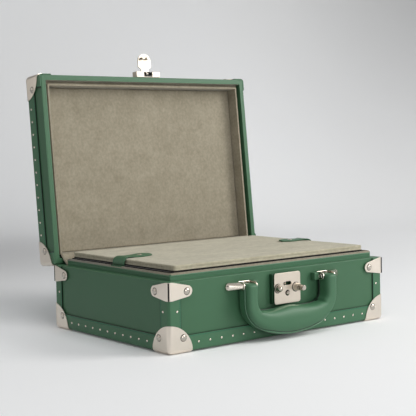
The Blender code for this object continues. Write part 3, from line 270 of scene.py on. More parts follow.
def light_studio():
    softbox("key_softbox", (1.8, -1.7, 1.4), (1.2, 1.2), 42, (1.0, 0.985, 0.96))
    softbox("top_softbox", (-0.1, -0.8, 2.1), (1.6, 1.4), 17, mirrored=False)
    softbox("front_softbox", (-0.3, -2.7, 0.75), (1.7, 0.9), 11)
    SCENE.world = surround()
    SCENE.view_settings.view_transform = "Standard"


# Shader nodes and groups

def set_inputs(tree, item, inputs):
    """Links or values for a node's inputs, by name or number."""
    for key, value in inputs.items():
        if isinstance(value, bpy.types.NodeSocket):
            tree.links.new(value, item.inputs[key])
        else:
            item.inputs[key].default_value = value


def add_node(tree, kind, inputs=None, **settings):
    item = set_values(tree.nodes.new("ShaderNode" + kind), **settings)
    set_inputs(tree, item, inputs or {})
    return item


def calculate(tree, operation, *values):
    """The result of one step of arithmetic."""
    return add_node(tree, "Math", dict(enumerate(values)), operation=operation).outputs[0]


def noise(tree, place, scale, detail, roughness=0.5):
    inputs = {"Vector": place, "Scale": scale, "Detail": detail, "Roughness": roughness}
    return add_node(tree, "TexNoise", inputs).outputs[0]


def stretched(tree, place, amount):
    return add_node(tree, "VectorMath", {0: place, 1: amount}, operation="MULTIPLY").outputs[0]


def mix_colours(tree, share, first, second):
    return add_node(tree, "Mix", {0: share, 6: first, 7: second}, data_type="RGBA").outputs[2]


def seen_directly(tree):
    """1 for rays from the camera, shiny surfaces and clear ones, and 0 for diffuse light."""
    path = add_node(tree, "LightPath").outputs
    seen = calculate(tree, "MAXIMUM", path["Is Camera Ray"], path["Is Glossy Ray"])
    return calculate(tree, "MAXIMUM", seen, path["Is Transmission Ray"])


def open_group(name, **inputs):
    """A new shader node group: its tree, its input sockets and the surface's place."""
    tree = bpy.data.node_groups.new(name, "ShaderNodeTree")
    for label, value in inputs.items():
        kind = "NodeSocketVector" if isinstance(value, tuple) else "NodeSocketFloat"
        tree.interface.new_socket(label, in_out="INPUT", socket_type=kind).default_value = value
    return tree, tree.nodes.new("NodeGroupInput").outputs, add_node(tree, "TexCoord").outputs["Object"]


def close_group(tree, **outputs):
    for label in outputs:
        tree.interface.new_socket(label, in_out="OUTPUT", socket_type="NodeSocketFloat")
    set_inputs(tree, tree.nodes.new("NodeGroupOutput"), outputs)
    return tree


def grain_group():
    """Fine pebble grain of leather: rounded cells, softer cells twice as large, and patches."""
    tree, given, place = open_group("leather_grain", Cell=0.9, Unevenness=0.5)
    scale = calculate(tree, "DIVIDE", 1000.0, given["Cell"])
    cells = add_node(tree, "TexVoronoi", {"Vector": place, "Scale": scale, "Smoothness": 0.6},
                     feature="SMOOTH_F1")
    broad = noise(tree, place, calculate(tree, "MULTIPLY", scale, 0.43), 3.0)
    height = calculate(tree, "MULTIPLY_ADD", cells.outputs["Distance"], -0.8, broad)
    centred = calculate(tree, "SUBTRACT", noise(tree, place, 14.0, 4.0, 0.6), 0.5)
    tone = calculate(tree, "MULTIPLY_ADD", centred, given["Unevenness"], 0.5)
    return close_group(tree, Height=height, Tone=tone)


def nap_group():
    """Nap of suede: short fibres that lie one way, with brushed patches that read lighter or darker."""
    tree, given, place = open_group("suede_nap", Fibre=0.35, Brushing=0.5, Lie=(1.0, 1.0, 0.35))
    lying = stretched(tree, place, given["Lie"])
    fibres = noise(tree, lying, calculate(tree, "DIVIDE", 1000.0, given["Fibre"]), 4.0, 0.7)
    clumps = noise(tree, lying, 260.0, 3.0, 0.6)
    height = calculate(tree, "MULTIPLY_ADD", clumps, 0.45, fibres)
    both = calculate(tree, "MULTIPLY_ADD", clumps, 1.1, noise(tree, lying, 34.0, 5.0, 0.7))
    centred = calculate(tree, "SUBTRACT", both, 1.05)
    tone = calculate(tree, "MULTIPLY_ADD", centred, given["Brushing"], 0.5)
    return close_group(tree, Height=height, Tone=tone)


def plating_group():
    """Polished plate that has been handled: hair scratches, faint smudges and broad tarnish."""
    tree, given, place = open_group("handled_plating", Polish=0.2, Smudging=0.12)
    hairs = noise(tree, stretched(tree, place, (1.0, 1.0, 9.0)), 420.0, 2.0)
    smudge = noise(tree, place, 90.0, 4.0, 0.6)
    rough = calculate(tree, "MULTIPLY_ADD", smudge, given["Smudging"], given["Polish"])
    return close_group(tree, Roughness=rough, Height=hairs, Tone=noise(tree, place, 28.0, 3.0))


GROUPS = {"grain": grain_group(), "nap": nap_group(), "plating": plating_group()}


# Materials

def new_material(name):
    finish = bpy.data.materials.new(name)
    finish.use_nodes = True
    return finish, finish.node_tree, finish.node_tree.nodes["Principled BSDF"]


def linear(colour):
    """sRGB numbers from 0 to 255 as a linear colour."""
    value = np.array(colour, float) / 255
    value = np.where(value <= 0.04045, value / 12.92, ((value + 0.055) / 1.055) ** 2.4)
    return (*value, 1.0)


def patterned(name, key, dark, light, relief, **settings):
    """A material whose group mixes its colour from dark to light and gives its relief."""
    finish, tree, shader = new_material(name)
    group = add_node(tree, "Group", node_tree=GROUPS[key])
    set_inputs(tree, group, settings)
    colour = mix_colours(tree, group.outputs["Tone"], linear(dark), linear(light))
    bump = add_node(tree, "Bump", {"Height": group.outputs["Height"], "Distance": relief, "Strength": 1.0})
    set_inputs(tree, shader, {"Base Color": colour, "Normal": bump.outputs["Normal"]})
    return finish, tree, shader, group.outputs


def leather(name, dark, light, roughness=0.42, cell=0.9, depth=0.05, coat=0.06, gloss=0.3):
    finish, tree, shader, grain = patterned(name, "grain", dark, light, depth * MM, Cell=cell, Unevenness=0.9)
    rough = calculate(tree, "MULTIPLY_ADD", grain["Tone"], 0.16, roughness - 0.08)
    set_inputs(tree, shader, {"Roughness": rough, "Specular IOR Level": gloss, "Coat Weight": coat,
                              "Coat Roughness": 0.35})
    return finish


def suede(name, dark, light, lie=(1.0, 1.0, 0.35), brushing=1.1):
    finish, tree, shader, _ = patterned(name, "nap", dark, light, 0.12 * MM, Brushing=brushing, Lie=lie)
    set_inputs(tree, shader, {"Roughness": 0.95, "Specular IOR Level": 0.15, "Sheen Weight": 0.25,
                              "Sheen Roughness": 0.5})
    return finish


def plated(name, dark, light, polish=0.2, smudging=0.12):
    finish, tree, shader, plate = patterned(name, "plating", dark, light, 0.004 * MM, Polish=polish,
                                            Smudging=smudging)
    set_inputs(tree, shader, {"Roughness": plate["Roughness"], "Metallic": 1.0})
    return finish


LEATHER = leather("green_leather", (58, 97, 69), (68, 108, 79))
BINDING = leather("green_binding_leather", (62, 103, 75), (73, 116, 86), roughness=0.45, cell=0.7)
# Lighter leather for eased edges: partly edge wear, partly a painted highlight along the lit edges
EDGE_WEAR_AND_HIGHLIGHT = leather("leather_edge_wear_and_highlight", (84, 118, 92), (106, 140, 114), roughness=0.4, cell=0.6, depth=0.02)
# Painted highlight: a lighter copy of the green leather for the lip's piping and the handle's welt, edges
# that catch the light
PIPING_HIGHLIGHT = leather("piping_leather_painted_highlight", (78, 118, 91), (96, 136, 108), roughness=0.4, cell=0.5, depth=0.02)
HANDLE_LEATHER = leather("handle_leather", (58, 100, 71), (68, 111, 81), roughness=0.47, cell=0.8, depth=0.03,
                         coat=0.0, gloss=0.42)
# Painted shade: a darker copy of the green leather for the lock's housing and its ends, whose sides lie in
# shadow
SHADED_HOUSING_LEATHER = leather("housing_leather_painted_shade", (30, 64, 42), (40, 78, 52), roughness=0.4)
THREAD = leather("green_thread", (16, 92, 74), (30, 122, 98), roughness=0.7, cell=0.3, depth=0.04)
# Burnished dark paint on the strips' cut edges; also painted shade in the handle's seams and along its inner
# rear edge
EDGE_PAINT_AND_SHADE = leather("burnished_edge_and_painted_shade", (8, 28, 16), (15, 40, 24), roughness=0.4, cell=1.4, depth=0.02)
SUEDE = suede("stone_suede", (136, 129, 111), (162, 154, 136), lie=(1.0, 1.0, 0.85), brushing=1.5)
PANEL_SUEDE = suede("panel_suede", (160, 154, 132), (192, 186, 163), lie=(0.5, 1.0, 1.0), brushing=1.5)
# Painted shade: near-black felt in the gaps round the tray and under the cover, where only shadow lies
GAP_SHADE_FELT = suede("painted_shade_felt", (6, 5, 3), (15, 13, 9), brushing=1.0)
NICKEL = plated("polished_nickel", (221, 211, 198), (234, 225, 213), polish=0.24)
PLATE_NICKEL = plated("lock_plate_nickel", (207, 198, 184), (221, 211, 198), polish=0.3)
BRIGHT_NICKEL = plated("bright_nickel", (206, 198, 186), (222, 214, 203), polish=0.10, smudging=0.06)
# Painted shade: nickel darker than the caps', standing in for the dark reflections on the rivets' domes
RIVET_NICKEL_SHADED = plated("rivet_nickel_painted_shade", (172, 166, 156), (204, 197, 187), polish=0.06, smudging=0.05)
LOCK_NICKEL = plated("lock_knob_nickel", (168, 162, 150), (202, 195, 184), polish=0.08, smudging=0.05)
HASP_NICKEL = plated("hasp_nickel", (158, 152, 142), (182, 175, 164), polish=0.3)
STEEL = plated("lock_steel", (110, 108, 104), (135, 132, 127), polish=0.3)
# Dark steel for the hasp's spring; the same plating is painted shade in the lock's rings, the pins' seats and
# the hasp's mouth
DARK_STEEL_AND_SHADE = plated("dark_steel_and_painted_shade", (30, 30, 29), (52, 51, 49), polish=0.32)
# Painted shade: dark plating for the line down each bracket's fold and the rings round the rivets
FOLD_AND_SEAT_SHADE = plated("fold_and_seat_painted_shade", (38, 36, 36), (58, 55, 54), polish=0.4)

# Finishes of the kept CAD pieces, or of a left and right pair, and how far edges are eased in mm
NODE_LOOKS = {
    "base_shell": (LEATHER, 0.7), "lid_shell": (LEATHER, 0.8), "strap_root": (LEATHER, 0.2),
    "base_lip": (BINDING, 0.4), "base_edge_binding": (BINDING, 0.35), "lid_edge_binding": (BINDING, 0.35),
    "lock_housing": (SHADED_HOUSING_LEATHER, 0.4), "base_liner": (SUEDE, 0.4), "lid_liner": (SUEDE, 0.5),
    "watch_tray": (SUEDE, 0.6), "tray_divider": (SUEDE, 0.8), "lock_plate": (PLATE_NICKEL, 0.25),
    "lock_knob": (LOCK_NICKEL, 0.15), "key_cylinder": (LOCK_NICKEL, 0.1), "latch_bolt": (BRIGHT_NICKEL, 0.15),
    "strap_stud": (BRIGHT_NICKEL, 0.15), "hasp_base": (HASP_NICKEL, 0.3), "hasp_tongue": (HASP_NICKEL, 0.3),
    "hinge_lower_leaf": (NICKEL, 0.2), "hinge_upper_leaf": (NICKEL, 0.2), "handle_pin": (STEEL, 0.15),
    "hinge_pin": (STEEL, 0), "hasp_pin": (STEEL, 0),
}
# Shells and lip whose eased edges get the lighter leather: a painted highlight with some edge wear
EDGE_HIGHLIGHT_NODES = ("base_shell", "lid_shell", "base_lip")


def dress_nodes():
    """Gives each kept CAD piece its finish and eases its edges. Caps and brackets get a rolled rim."""
    for name, item in frame["nodes"].items():
        kind = name.removesuffix("_left").removesuffix("_right")
        sharp = 30
        if "_cap_" in name or "_bracket_" in name:
            finish, width, sharp = NICKEL, 0.35, 50
        elif kind in NODE_LOOKS:
            finish, width = NODE_LOOKS[kind]
        else:
            continue
        item.data.materials.clear()
        item.data.materials.append(finish)
        # Their eased edges take the lighter leather, a painted highlight with some wear
        if name in EDGE_HIGHLIGHT_NODES:
            item.data.materials.append(EDGE_WEAR_AND_HIGHLIGHT)
        if width:
            item.data.shade_smooth()
            item.modifiers.new("weld", "WELD").merge_threshold = 0.01 * MM
            set_values(item.modifiers.new("eased_edges", "BEVEL"), width=width * MM, segments=2,
                       limit_method="ANGLE", angle_limit=math.radians(sharp),
                       material=1 if name in EDGE_HIGHLIGHT_NODES else -1)
            item.modifiers.new("steady_normals", "WEIGHTED_NORMAL").weight = 100


# Mesh making

def lattice(rows, columns, closed=False):
    """Corner numbers of the quads of a grid of points, row by row, closed round where asked."""
    index = np.arange(rows * columns).reshape(rows, columns)
    if closed:
        index = np.concatenate([index, index[:, :1]], 1)
    return np.stack([index[:-1, :-1], index[:-1, 1:], index[1:, 1:], index[1:, :-1]], -1).reshape(-1, 4)


def tube_faces(rows, sides, start=0):
    """Faces of a tube from rings of points, with a flat face over each end."""
    last = start + (rows - 1) * sides
    ends = [list(range(start, start + sides)), list(range(last, last + sides))]
    return (lattice(rows, sides, True) + start).tolist() + ends


def make_piece(name, points, faces, finish, body, slot=None, replaces=(), smooth=True, weld=0.0):
    """A piece from points, joined where closer than the weld, and faces, turned outwards."""
    mesh = bpy.data.meshes.new(name)
    mesh.from_pydata(np.reshape(points, (-1, 3)).tolist(), [], [list(map(int, face)) for face in faces])
    mesh.validate()
    work = bmesh.new()
    work.from_mesh(mesh)
    if weld:
        bmesh.ops.remove_doubles(work, verts=work.verts[:], dist=weld)
    bmesh.ops.recalc_face_normals(work, faces=work.faces[:])
    work.to_mesh(mesh)
    work.free()
    mesh.polygons.foreach_set("use_smooth", np.full(len(mesh.polygons), smooth))
    mesh.materials.append(finish)
    item = new_object(name, mesh)
    if body:
        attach(item, body)
    if replaces:
        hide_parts(*replaces)
    return item


def make_tube(name, points, finish, body, slot, replaces=()):
    return make_piece(name, points, tube_faces(*points.shape[:2]), finish, body, slot, replaces)


def turned_set(name, places, directions, profile, finish, body, sides):
    """Many alike turned pieces in one mesh, given for the closed lid where they ride on it. Each point
    is place + direction * height + radius * (u cos a + v sin a), with u and v square to the direction."""
    places, axis = np.asarray(places, float), np.asarray(directions, float)
    if body == "lid":
        places, axis = open_lid(places), open_lid(axis + HINGE) - HINGE
    helper = np.where(np.abs(axis[:, :1]) < 0.9, [[1.0, 0, 0]], [[0, 1.0, 0]])
    u = unit(np.cross(axis, helper))
    v = np.cross(axis, u)
    turn = circle(sides)[:, None]
    ring = u[:, None] * np.cos(turn) + v[:, None] * np.sin(turn)
    points = (places[:, None, None] + axis[:, None, None] * profile[:, None, 1:]
              + ring[:, None] * profile[:, None, :1])
    step = len(profile) * sides
    faces = [face for i in range(len(places)) for face in tube_faces(len(profile), sides, i * step)]
    make_piece(name, points, faces, finish, body, "nickel")


def box_mesh(boxes):
    """Points and faces of plain boxes, each given by two opposite corners. Corner k of a box takes the
    low or the high value of each axis by the bits of k."""
    boxes = np.array(boxes, float)
    bits = np.array([[(k >> axis) & 1 for axis in range(3)] for k in range(8)])
    points = boxes.min(1)[:, None] * (1 - bits) + boxes.max(1)[:, None] * bits
    sides = np.array([[0, 2, 3, 1], [4, 5, 7, 6], [0, 1, 5, 4], [2, 6, 7, 3], [0, 4, 6, 2], [1, 3, 7, 5]])
    return points, (sides + 8 * np.arange(len(boxes))[:, None, None]).reshape(-1, 4)


def bars(name, boxes, finish, body):
    """Many plain bars in one mesh, given for the closed lid where they ride on it."""
    points, faces = box_mesh(boxes)
    points = open_lid(points) if body == "lid" else points
    make_piece(name, points, faces, finish, body, "leather", smooth=False)


# Nails, rivets and strips

def on_face(face, sign, spot, out):
    """A point on a side of the case: a spot (along it, up it) and so far out of it."""
    along, height = spot
    if face == "y":
        return (along, EDGE_Y[sign] + sign * out, height)
    return (sign * (HALF_WIDTH + out), along, height)


def nail_rows(z):
    """Places and directions of a row of nails round all four faces."""
    across = np.linspace(-153.2, 156.7, 17) * MM
    along = FRONT - MM + np.linspace(49.8, 242.4, 11) * MM
    nails = [(on_face("y", side, (x, z), STRIP_OUT), (0, side, 0)) for side in (-1, 1) for x in across]
    nails += [(on_face("x", side, (y, z), STRIP_OUT), (side, 0, 0)) for side in (-1, 1) for y in along]
    return tuple(np.array(part, float) for part in zip(*nails))


def corner_places(closed_end, away, spots):
    """Places and directions at each corner of the case. A spot lists how far it lies inwards from the
    corner along x, y and z, and the distance below zero is the one that it faces out of."""
    corners = np.array([(x * HALF_WIDTH, EDGE_Y[y], closed_end) for x, y in CORNERS])
    inward = np.array([(-x, -y, away) for x, y in CORNERS])[:, None]
    spots = np.array(spots)
    places = corners[:, None] + inward * spots
    return places.reshape(-1, 3), (-inward * (spots < 0)).reshape(-1, 3).astype(float)


def make_nails():
    """Rows of nails round the closed ends, and one in each leg of the base's corner strips."""
    inset, height = CORNER_NAIL[0], CORNER_NAIL[1] - BASE_BOTTOM
    legs = corner_places(BASE_BOTTOM, 1, [(inset, -STRIP_OUT, height), (-STRIP_OUT, inset, height)])
    places, directions = (np.concatenate(pair) for pair in zip(nail_rows(NAIL_HEIGHT), legs))
    turned_set("base_nails", places, directions, NAIL_PROFILE, BRIGHT_NICKEL, "base", 10)
    turned_set("lid_nails", *nail_rows(LID_TOP - LID_NAIL_DROP), NAIL_PROFILE, BRIGHT_NICKEL, "lid", 10)


def make_rivets():
    """Rivets in the caps' and brackets' wings: nickel darkened as painted shade, on seats of painted shade.
    """
    seat, low = CAP_RIVET
    wings = [(-CAP_OUT, seat, low), (seat, -CAP_OUT, low)]
    inset, rise = BRACKET_RIVET[0], BRACKET_RIVET[1] - BASE_BOTTOM
    base = corner_places(BASE_BOTTOM, 1, wings + [(-CAP_OUT, inset, rise), (inset, -CAP_OUT, rise)])
    lid = corner_places(LID_TOP, -1, wings + [(seat, seat, -CAP_OUT)])
    for body, spots in (("base", base), ("lid", lid)):
        turned_set(body + "_rivets", *spots, RIVET_PROFILE, RIVET_NICKEL_SHADED, body, 24)
        turned_set(body + "_rivet_seat_shade", *spots, SEAT_PROFILE, FOLD_AND_SEAT_SHADE, body, 24)


def finish_strips(body, closed_end, away, rim_end, paint_width):
    """On each face the strips leave a window that is open towards the rim. Its edges are painted dark,
    and beside each lies a row of short stitches. An edge's ends are (along the face, height)."""
    edge, under = closed_end + away * STRIP_HEIGHT, STRIP_OUT - 0.1 * MM
    paint, stitches = [], []
    for face, centre, half in (("y", 0.0, HALF_WIDTH), ("x", MIDDLE_Y, (BACK - FRONT) / 2)):
        low, high = centre - (half - CORNER_STRIP), centre + (half - CORNER_STRIP)
        sides = np.array([((low, edge), (high, edge), (0, away)), ((low, edge), (low, rim_end), (1, 0)),
                          ((high, edge), (high, rim_end), (-1, 0))])
        for sign, (first, second, inward) in [(sign, side) for sign in (-1, 1) for side in sides]:
            paint.append([on_face(face, sign, first, 0.0),
                          on_face(face, sign, second + inward * paint_width, under)])
            run = unit(second - first)
            reach = (np.abs(run) * STITCH_LENGTH + np.abs(inward) * THREAD_WIDTH) / 2
            span = np.abs(second - first).sum()
            for step in range(1, int((span - 2 * STITCH_PITCH) / STITCH_PITCH) + 1):
                middle = first + run * step * STITCH_PITCH - inward * STITCH_INSET
                stitches.append([on_face(face, sign, middle - reach, under),
                                 on_face(face, sign, middle + reach, STRIP_OUT + 0.25 * MM)])
    bars(body + "_strip_edges", paint, EDGE_PAINT_AND_SHADE, body)
    bars(body + "_strip_stitches", stitches, THREAD, body)


def draw_bracket_folds():
    """The dark line down the fold of each rim bracket, painted shade: a thin bar in the corner's diagonal."""
    out = CAP_OUT - 0.18 * CAP_CORNER_RADIUS + 0.25 * MM
    ends = ((out, BASE_TOP - BRACKET_FOLD_HEIGHT), (out - FOLD_LINE, BASE_TOP - 0.9 * MM))
    boxes = [[(x * (HALF_WIDTH + reach), EDGE_Y[y] + y * reach, z) for reach, z in ends] for x, y in CORNERS]
    bars("bracket_fold_shade", boxes, FOLD_AND_SEAT_SHADE, "base")


# Padded handle

def handle_line(count=180):
    """The handle's middle line, as in the CAD: straight down from each end, then a superellipse
    |x / a| ** n + |z / b| ** n = 1 with n = 2.7 below. Returns even points and how far along they lie."""
    top_z, bend_z, middle_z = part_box("handle")[1][2] - 1.8 * MM, 60 * MM, 24.6 * MM
    fine = np.linspace(0, math.pi, 900)
    power = 2 / 2.7
    x = -soft(np.cos(fine), power) * HANDLE_END_X
    z = bend_z - (bend_z - middle_z) * np.sin(fine) ** power
    rise = np.linspace(top_z, bend_z, 61)[:60]
    x = np.concatenate([np.full(60, -HANDLE_END_X), x, np.full(60, HANDLE_END_X)])
    z = np.concatenate([rise, z, rise[::-1]])
    length = np.concatenate([[0], np.cumsum(np.hypot(np.diff(x), np.diff(z)))])
    along = np.linspace(0, length[-1], count)
    return np.stack([np.interp(along, length, x), np.interp(along, length, z)], -1), along


def make_handle():
    """A tube of padding along the middle line. Its section is a superellipse, rounder in front of the
    welt and squarer behind it. A crease crosses each inner bend, the grip swells inwards at its middle,
    and the welt runs further forward along the grip."""
    line, along = handle_line()
    outward = -normals(line)
    reach = np.abs(line[:, 0]) / MM
    end = np.minimum(along, along[-1] - along)
    swell = 1 - np.clip(reach * MM / HANDLE_END_X, 0, 1) ** 1.6
    squeeze = 1 - 0.22 * (1 - np.clip(end / (3.0 * MM), 0, 1)) ** 2
    width = (18.2 + 20.0 * swell) * MM
    front_thick = (10.25 + 2.05 * swell) * MM
    rear_thick = (13.0 - 1.6 * swell) * MM
    exponent = 3.2 - 0.8 * swell
    half = (width * squeeze / 2)[:, None]
    angle = circle(96)
    behind = np.sin(angle) > 0
    power = np.where(behind, 2 / 8.0, 2 / exponent[:, None])
    thick = np.where(behind, rear_thick[:, None], front_thick[:, None]) * squeeze[:, None]
    crease = 2.0 * bell((end - 48 * MM) / (4.2 * MM))
    hump = 1.7 * bell(reach / 25) - 0.3 * bell((reach - 46) / 12)
    side = half * soft(np.cos(angle), power)
    side = side + MM * (crease - hump)[:, None] * bell((angle - math.pi) / 1.1)
    x, z = beside(line, outward, side)
    y = FRONT - HANDLE_OUT + thick * soft(np.sin(angle), power)
    cover = make_tube("handle_cover", merge(x, y, z), HANDLE_LEATHER, "carry_handle", "handle_leather",
                      ["handle"])

    def fall(forward):
        """How far the front's curve has come in from the outer edge, so far forward of it."""
        return width / 2 * (1 - (1 - (forward / front_thick) ** exponent) ** (1 / exponent))

    def lay_cord(name, way, radius, lift, forward, finish):
        """A round cord along the outer (1) or inner (-1) edge, clear of the ends, lifted out of it and
        moved forward: each ring is place + radius * (outward cos a + forward sin a)."""
        lift, forward = (np.broadcast_to(value, end.shape)[clear][:, None] for value in (lift, forward))
        out, turn = way * outward[clear], circle(10)
        x, z = beside(line[clear] + out * half[clear], out, lift + radius * np.cos(turn))
        y = FRONT - HANDLE_OUT - forward + radius * np.sin(turn)
        make_tube(name, merge(x, y, z), finish, "carry_handle", "handle_leather")

    clear = end > 2.5 * MM
    welt = (1.3 + 6.6 * smooth((74 - reach) / 36)) * MM
    seam = welt + 1.3 * MM
    # The welt in the lighter leather: a painted highlight along its edge
    lay_cord("handle_welt", 1, WELT_RADIUS, 0.35 * MM - fall(welt), welt, PIPING_HIGHLIGHT)
    # Dark cords by the welt: seam paint darkened into painted shade in the seam's groove
    lay_cord("handle_seam_shade", 1, 0.7 * MM, -0.1 * MM, -0.3 * MM, EDGE_PAINT_AND_SHADE)
    lay_cord("handle_front_seam_shade", 1, 0.5 * MM, -0.2 * MM - fall(seam), seam, EDGE_PAINT_AND_SHADE)
    # Painted shade: a dark cord along the inner rear edge, where the handle's shadow meets the case
    lay_cord("handle_rear_painted_shade", -1, 1.6 * MM, -0.6 * MM, -10.2 * MM, EDGE_PAINT_AND_SHADE)


# Handle mounts

def make_loop(word, side):
    """The loop that holds a handle end: an upright strip carried along a U in plan. Its section is a
    superellipse of exponent 4, and its half height falls as a quarter circle over the last 5.7 mm of
    each leg, like an ear."""
    outer, inner, back, corner, reach = 85.0, 63.0, 0.85, 2.2, 17.0
    legs = reach - (reach - back - corner) * np.linspace(0, 1, 22) ** 0.8
    turn = np.linspace(0, math.pi / 2, 9)[1:-1]
    x = np.concatenate([np.full(22, outer), outer - corner * (1 - np.cos(turn)),
                        np.linspace(outer - corner, inner + corner, 10)[:5]])
    depth = np.concatenate([legs, back + corner * (1 - np.sin(turn)), np.full(5, back)])
    x, depth = np.append(x, outer + inner - x[::-1]), np.append(depth, depth[::-1])
    height = (MOUNT_HIGH - MOUNT_LOW) / 2 / MM
    ear = np.clip((depth - (reach - height)) / height, 0, 0.995)
    half = np.where(depth < back + corner, 0.75, 1.0)
    angle = circle(20)
    line = np.stack([x, depth], -1)
    across, out = beside(line, normals(line), half[:, None] * soft(np.cos(angle), 0.5))
    rise = (height * np.sqrt(1 - ear ** 2))[:, None] * soft(np.sin(angle), 0.5)
    points = merge(side * across * MM, MOUNT_BACK - out * MM, (MOUNT_LOW + MOUNT_HIGH) / 2 + rise * MM)
    make_tube("mount_loop_" + word, points, BRIGHT_NICKEL, "base", "nickel", ["handle_mount_" + word])


def make_fairing(word, side):
    """The half-round fairing outside a loop. Its depth falls evenly along it from 15 to 6 mm, it closes
    as a quarter ellipse at the outer end, and a fine groove marks its middle."""
    foot, tip = 84.6, 106.4
    x = foot + (tip - foot) * np.linspace(0, 1, 34) ** 0.85
    nose = np.sqrt(1 - np.clip((x - 101.6) / 4.8, 0, 0.999) ** 2)[:, None]
    slope = 15.3 - (15.3 - 6.2) * (x - foot) / (102.0 - foot)
    depth = (slope * np.sqrt(1 - np.clip((x - 102.6) / 3.8, 0, 0.999) ** 2))[:, None]
    angle = np.linspace(-math.pi / 2, math.pi / 2, 41)
    rise = 5.6 * nose * np.sin(angle)
    out = depth * np.cos(angle) ** 0.72
    out = np.maximum(out - 0.7 * bell(rise / 0.4) * (depth > 2), 0)
    points = merge(side * x[:, None] * MM, MOUNT_BACK - out * MM, PIN_HEIGHT + rise * MM)
    make_tube("mount_fairing_" + word, points, BRIGHT_NICKEL, "base", "nickel")


def round_block(name, centre, half, finish, power):
    """A superellipsoid block: each axis is half * sgn(c)|c| ** power of the ball's cosines."""
    rise = np.linspace(-math.pi / 2, math.pi / 2, 25)[:, None]
    turn = np.linspace(-math.pi, math.pi, 48, endpoint=False)
    level = soft(np.cos(rise), power)
    points = merge(level * soft(np.cos(turn), power), level * soft(np.sin(turn), power),
                   soft(np.sin(rise), power))
    make_piece(name, points * half + centre, lattice(25, 48, True), finish, "base", "leather",
               weld=0.001 * MM)


def make_mounts():
    """Both mounts: loop, fairing, leather block, and the pin's head on a dark seat of painted shade."""
    heads, directions = [], []
    for word, side in SIDES.items():
        make_loop(word, side)
        make_fairing(word, side)
        centre = (side * 57.2 * MM, MOUNT_BACK - 4.2 * MM, PIN_HEIGHT)
        round_block("mount_block_" + word, centre, mm(4.4, 4.3, 5.4), LEATHER, 0.22)
        heads.append((side * 61.9 * MM, MOUNT_BACK - PIN_OUT, PIN_HEIGHT))
        directions.append((-side, 0, 0))
    head = mm((3.6, -0.3), (3.6, 0.5), (3.1, 1.0), (2.2, 1.1), (2.0, 0.5), (0.3, 0.5))
    seat = mm((4.4, -0.3), (4.4, 0.15), (3.7, 0.2))
    turned_set("mount_pin_heads", heads, directions, head, BRIGHT_NICKEL, "base", 20)
    turned_set("mount_pin_seat_shade", heads, directions, seat, DARK_STEEL_AND_SHADE, "base", 20)


# Lock and hasp details

def make_lock_rings():
    """Dark rings of painted shade at the feet of knobs and key, the housing's rounded ends in leather
    darkened as painted shade, the coils of the hasp's spring round its pin, and painted shade in the hasp's
    mouth."""
    low, high = np.array(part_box("lock_housing"))
    rings = (("lock_knob_left", 6.7, 0), ("lock_knob_left", 5.3, 1.5), ("key_cylinder", 4.2, 0),
             ("lock_knob_right", 6.9, 0), ("lock_knob_right", 4.25, 11.6))
    for number, (node, radius, lift) in enumerate(rings, 1):
        x, _, z = np.mean(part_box(node), 0)
        place = (x, low[1] - PLATE_OUT - lift * MM, z)
        ring = mm((radius, -0.2), (radius, 0.12), (radius - 0.4, 0.2), (radius - 1.1, 0.2))
        turned_set("lock_ring_%d" % number, [place], [(0, -1, 0)], ring, DARK_STEEL_AND_SHADE, "base", 32)
    x, _, z = (low + high) / 2
    half_x, _, half_z = (high - low) / 2
    # Rounded housing ends in the darkened leather: painted shade beside the plate
    for word, side in SIDES.items():
        centre = (x + side * (half_x + 1.25 * MM), high[1] - 2.7 * MM, z)
        round_block("lock_housing_shaded_edge_" + word, centre, mm(1.2, 2.9, 0.2) + (0, 0, half_z), SHADED_HOUSING_LEATHER, 0.2)
    pin = open_lid(np.mean(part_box("hasp_pin"), 0), -OPEN_ANGLE)
    for number, (first, last) in enumerate(((-6.6, -2.3), (2.3, 6.6)), 1):
        run = np.linspace(first, last, 29)
        coil = 3.25 + 0.3 * np.cos(2 * math.pi * (run - first) / 1.43)
        profile = mm((0.4, first), *zip(coil, run), (0.4, last))
        turned_set("hasp_spring_%d" % number, [pin], [(1, 0, 0)], profile, DARK_STEEL_AND_SHADE, "lid", 20)
    mouth = mm((-7.8, -3.9, 96.3), (7.8, -1.6, 98.0)) + (0, FRONT, 0)
    # Painted shade: a dark bar in the hasp's mouth
    bars("hasp_mouth_shade", [mouth], DARK_STEEL_AND_SHADE, "lid")


# Rims, and painted shade in the gaps

def lay_rim(name, node, section, finish, slot):
    """A closed section carried along the outline of the lip or of the liner, with corners of 3.5 mm,
    from the back on the right round the front to the back on the left."""
    low, high = np.array(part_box(node))
    rear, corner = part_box("base_lip")[1][1], 3.5 * MM
    turn = np.linspace(0, math.pi / 2, 8)
    bend = np.stack([np.cos(turn), -np.sin(turn)], -1)
    outs = np.concatenate([[(1, 0)], bend, bend[::-1] * (-1, 1), [(-1, 0)]])
    left, right, front = low[0] + corner, high[0] - corner, low[1] + corner
    centres = [(right, rear)] + [(right, front)] * 8 + [(left, front)] * 8 + [(left, rear)]
    x, y = beside(np.array(centres) + corner * outs, outs, section[:, 0])
    make_tube(name, merge(x, y, high[2] + section[:, 1]), finish, "base", slot)


def frame_bars(name, node, z_low, z_high, inner, body):
    """Painted shade: dark felt round a node's outline, from inside it to 0.3 mm outside it, as four bars."""
    (x0, y0, _), (x1, y1, _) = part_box(node)
    out = 0.3 * MM
    plans = [((x0 - out, y0 - out), (x1 + out, y0 + inner)), ((x0 - out, y0), (x0 + inner, y1)),
             ((x1 - inner, y0), (x1 + out, y1)), ((x0 - out, y1 - inner), (x1 + out, y1 + out))]
    bars(name, [[(*first, z_low), (*second, z_high)] for first, second in plans], GAP_SHADE_FELT, body)


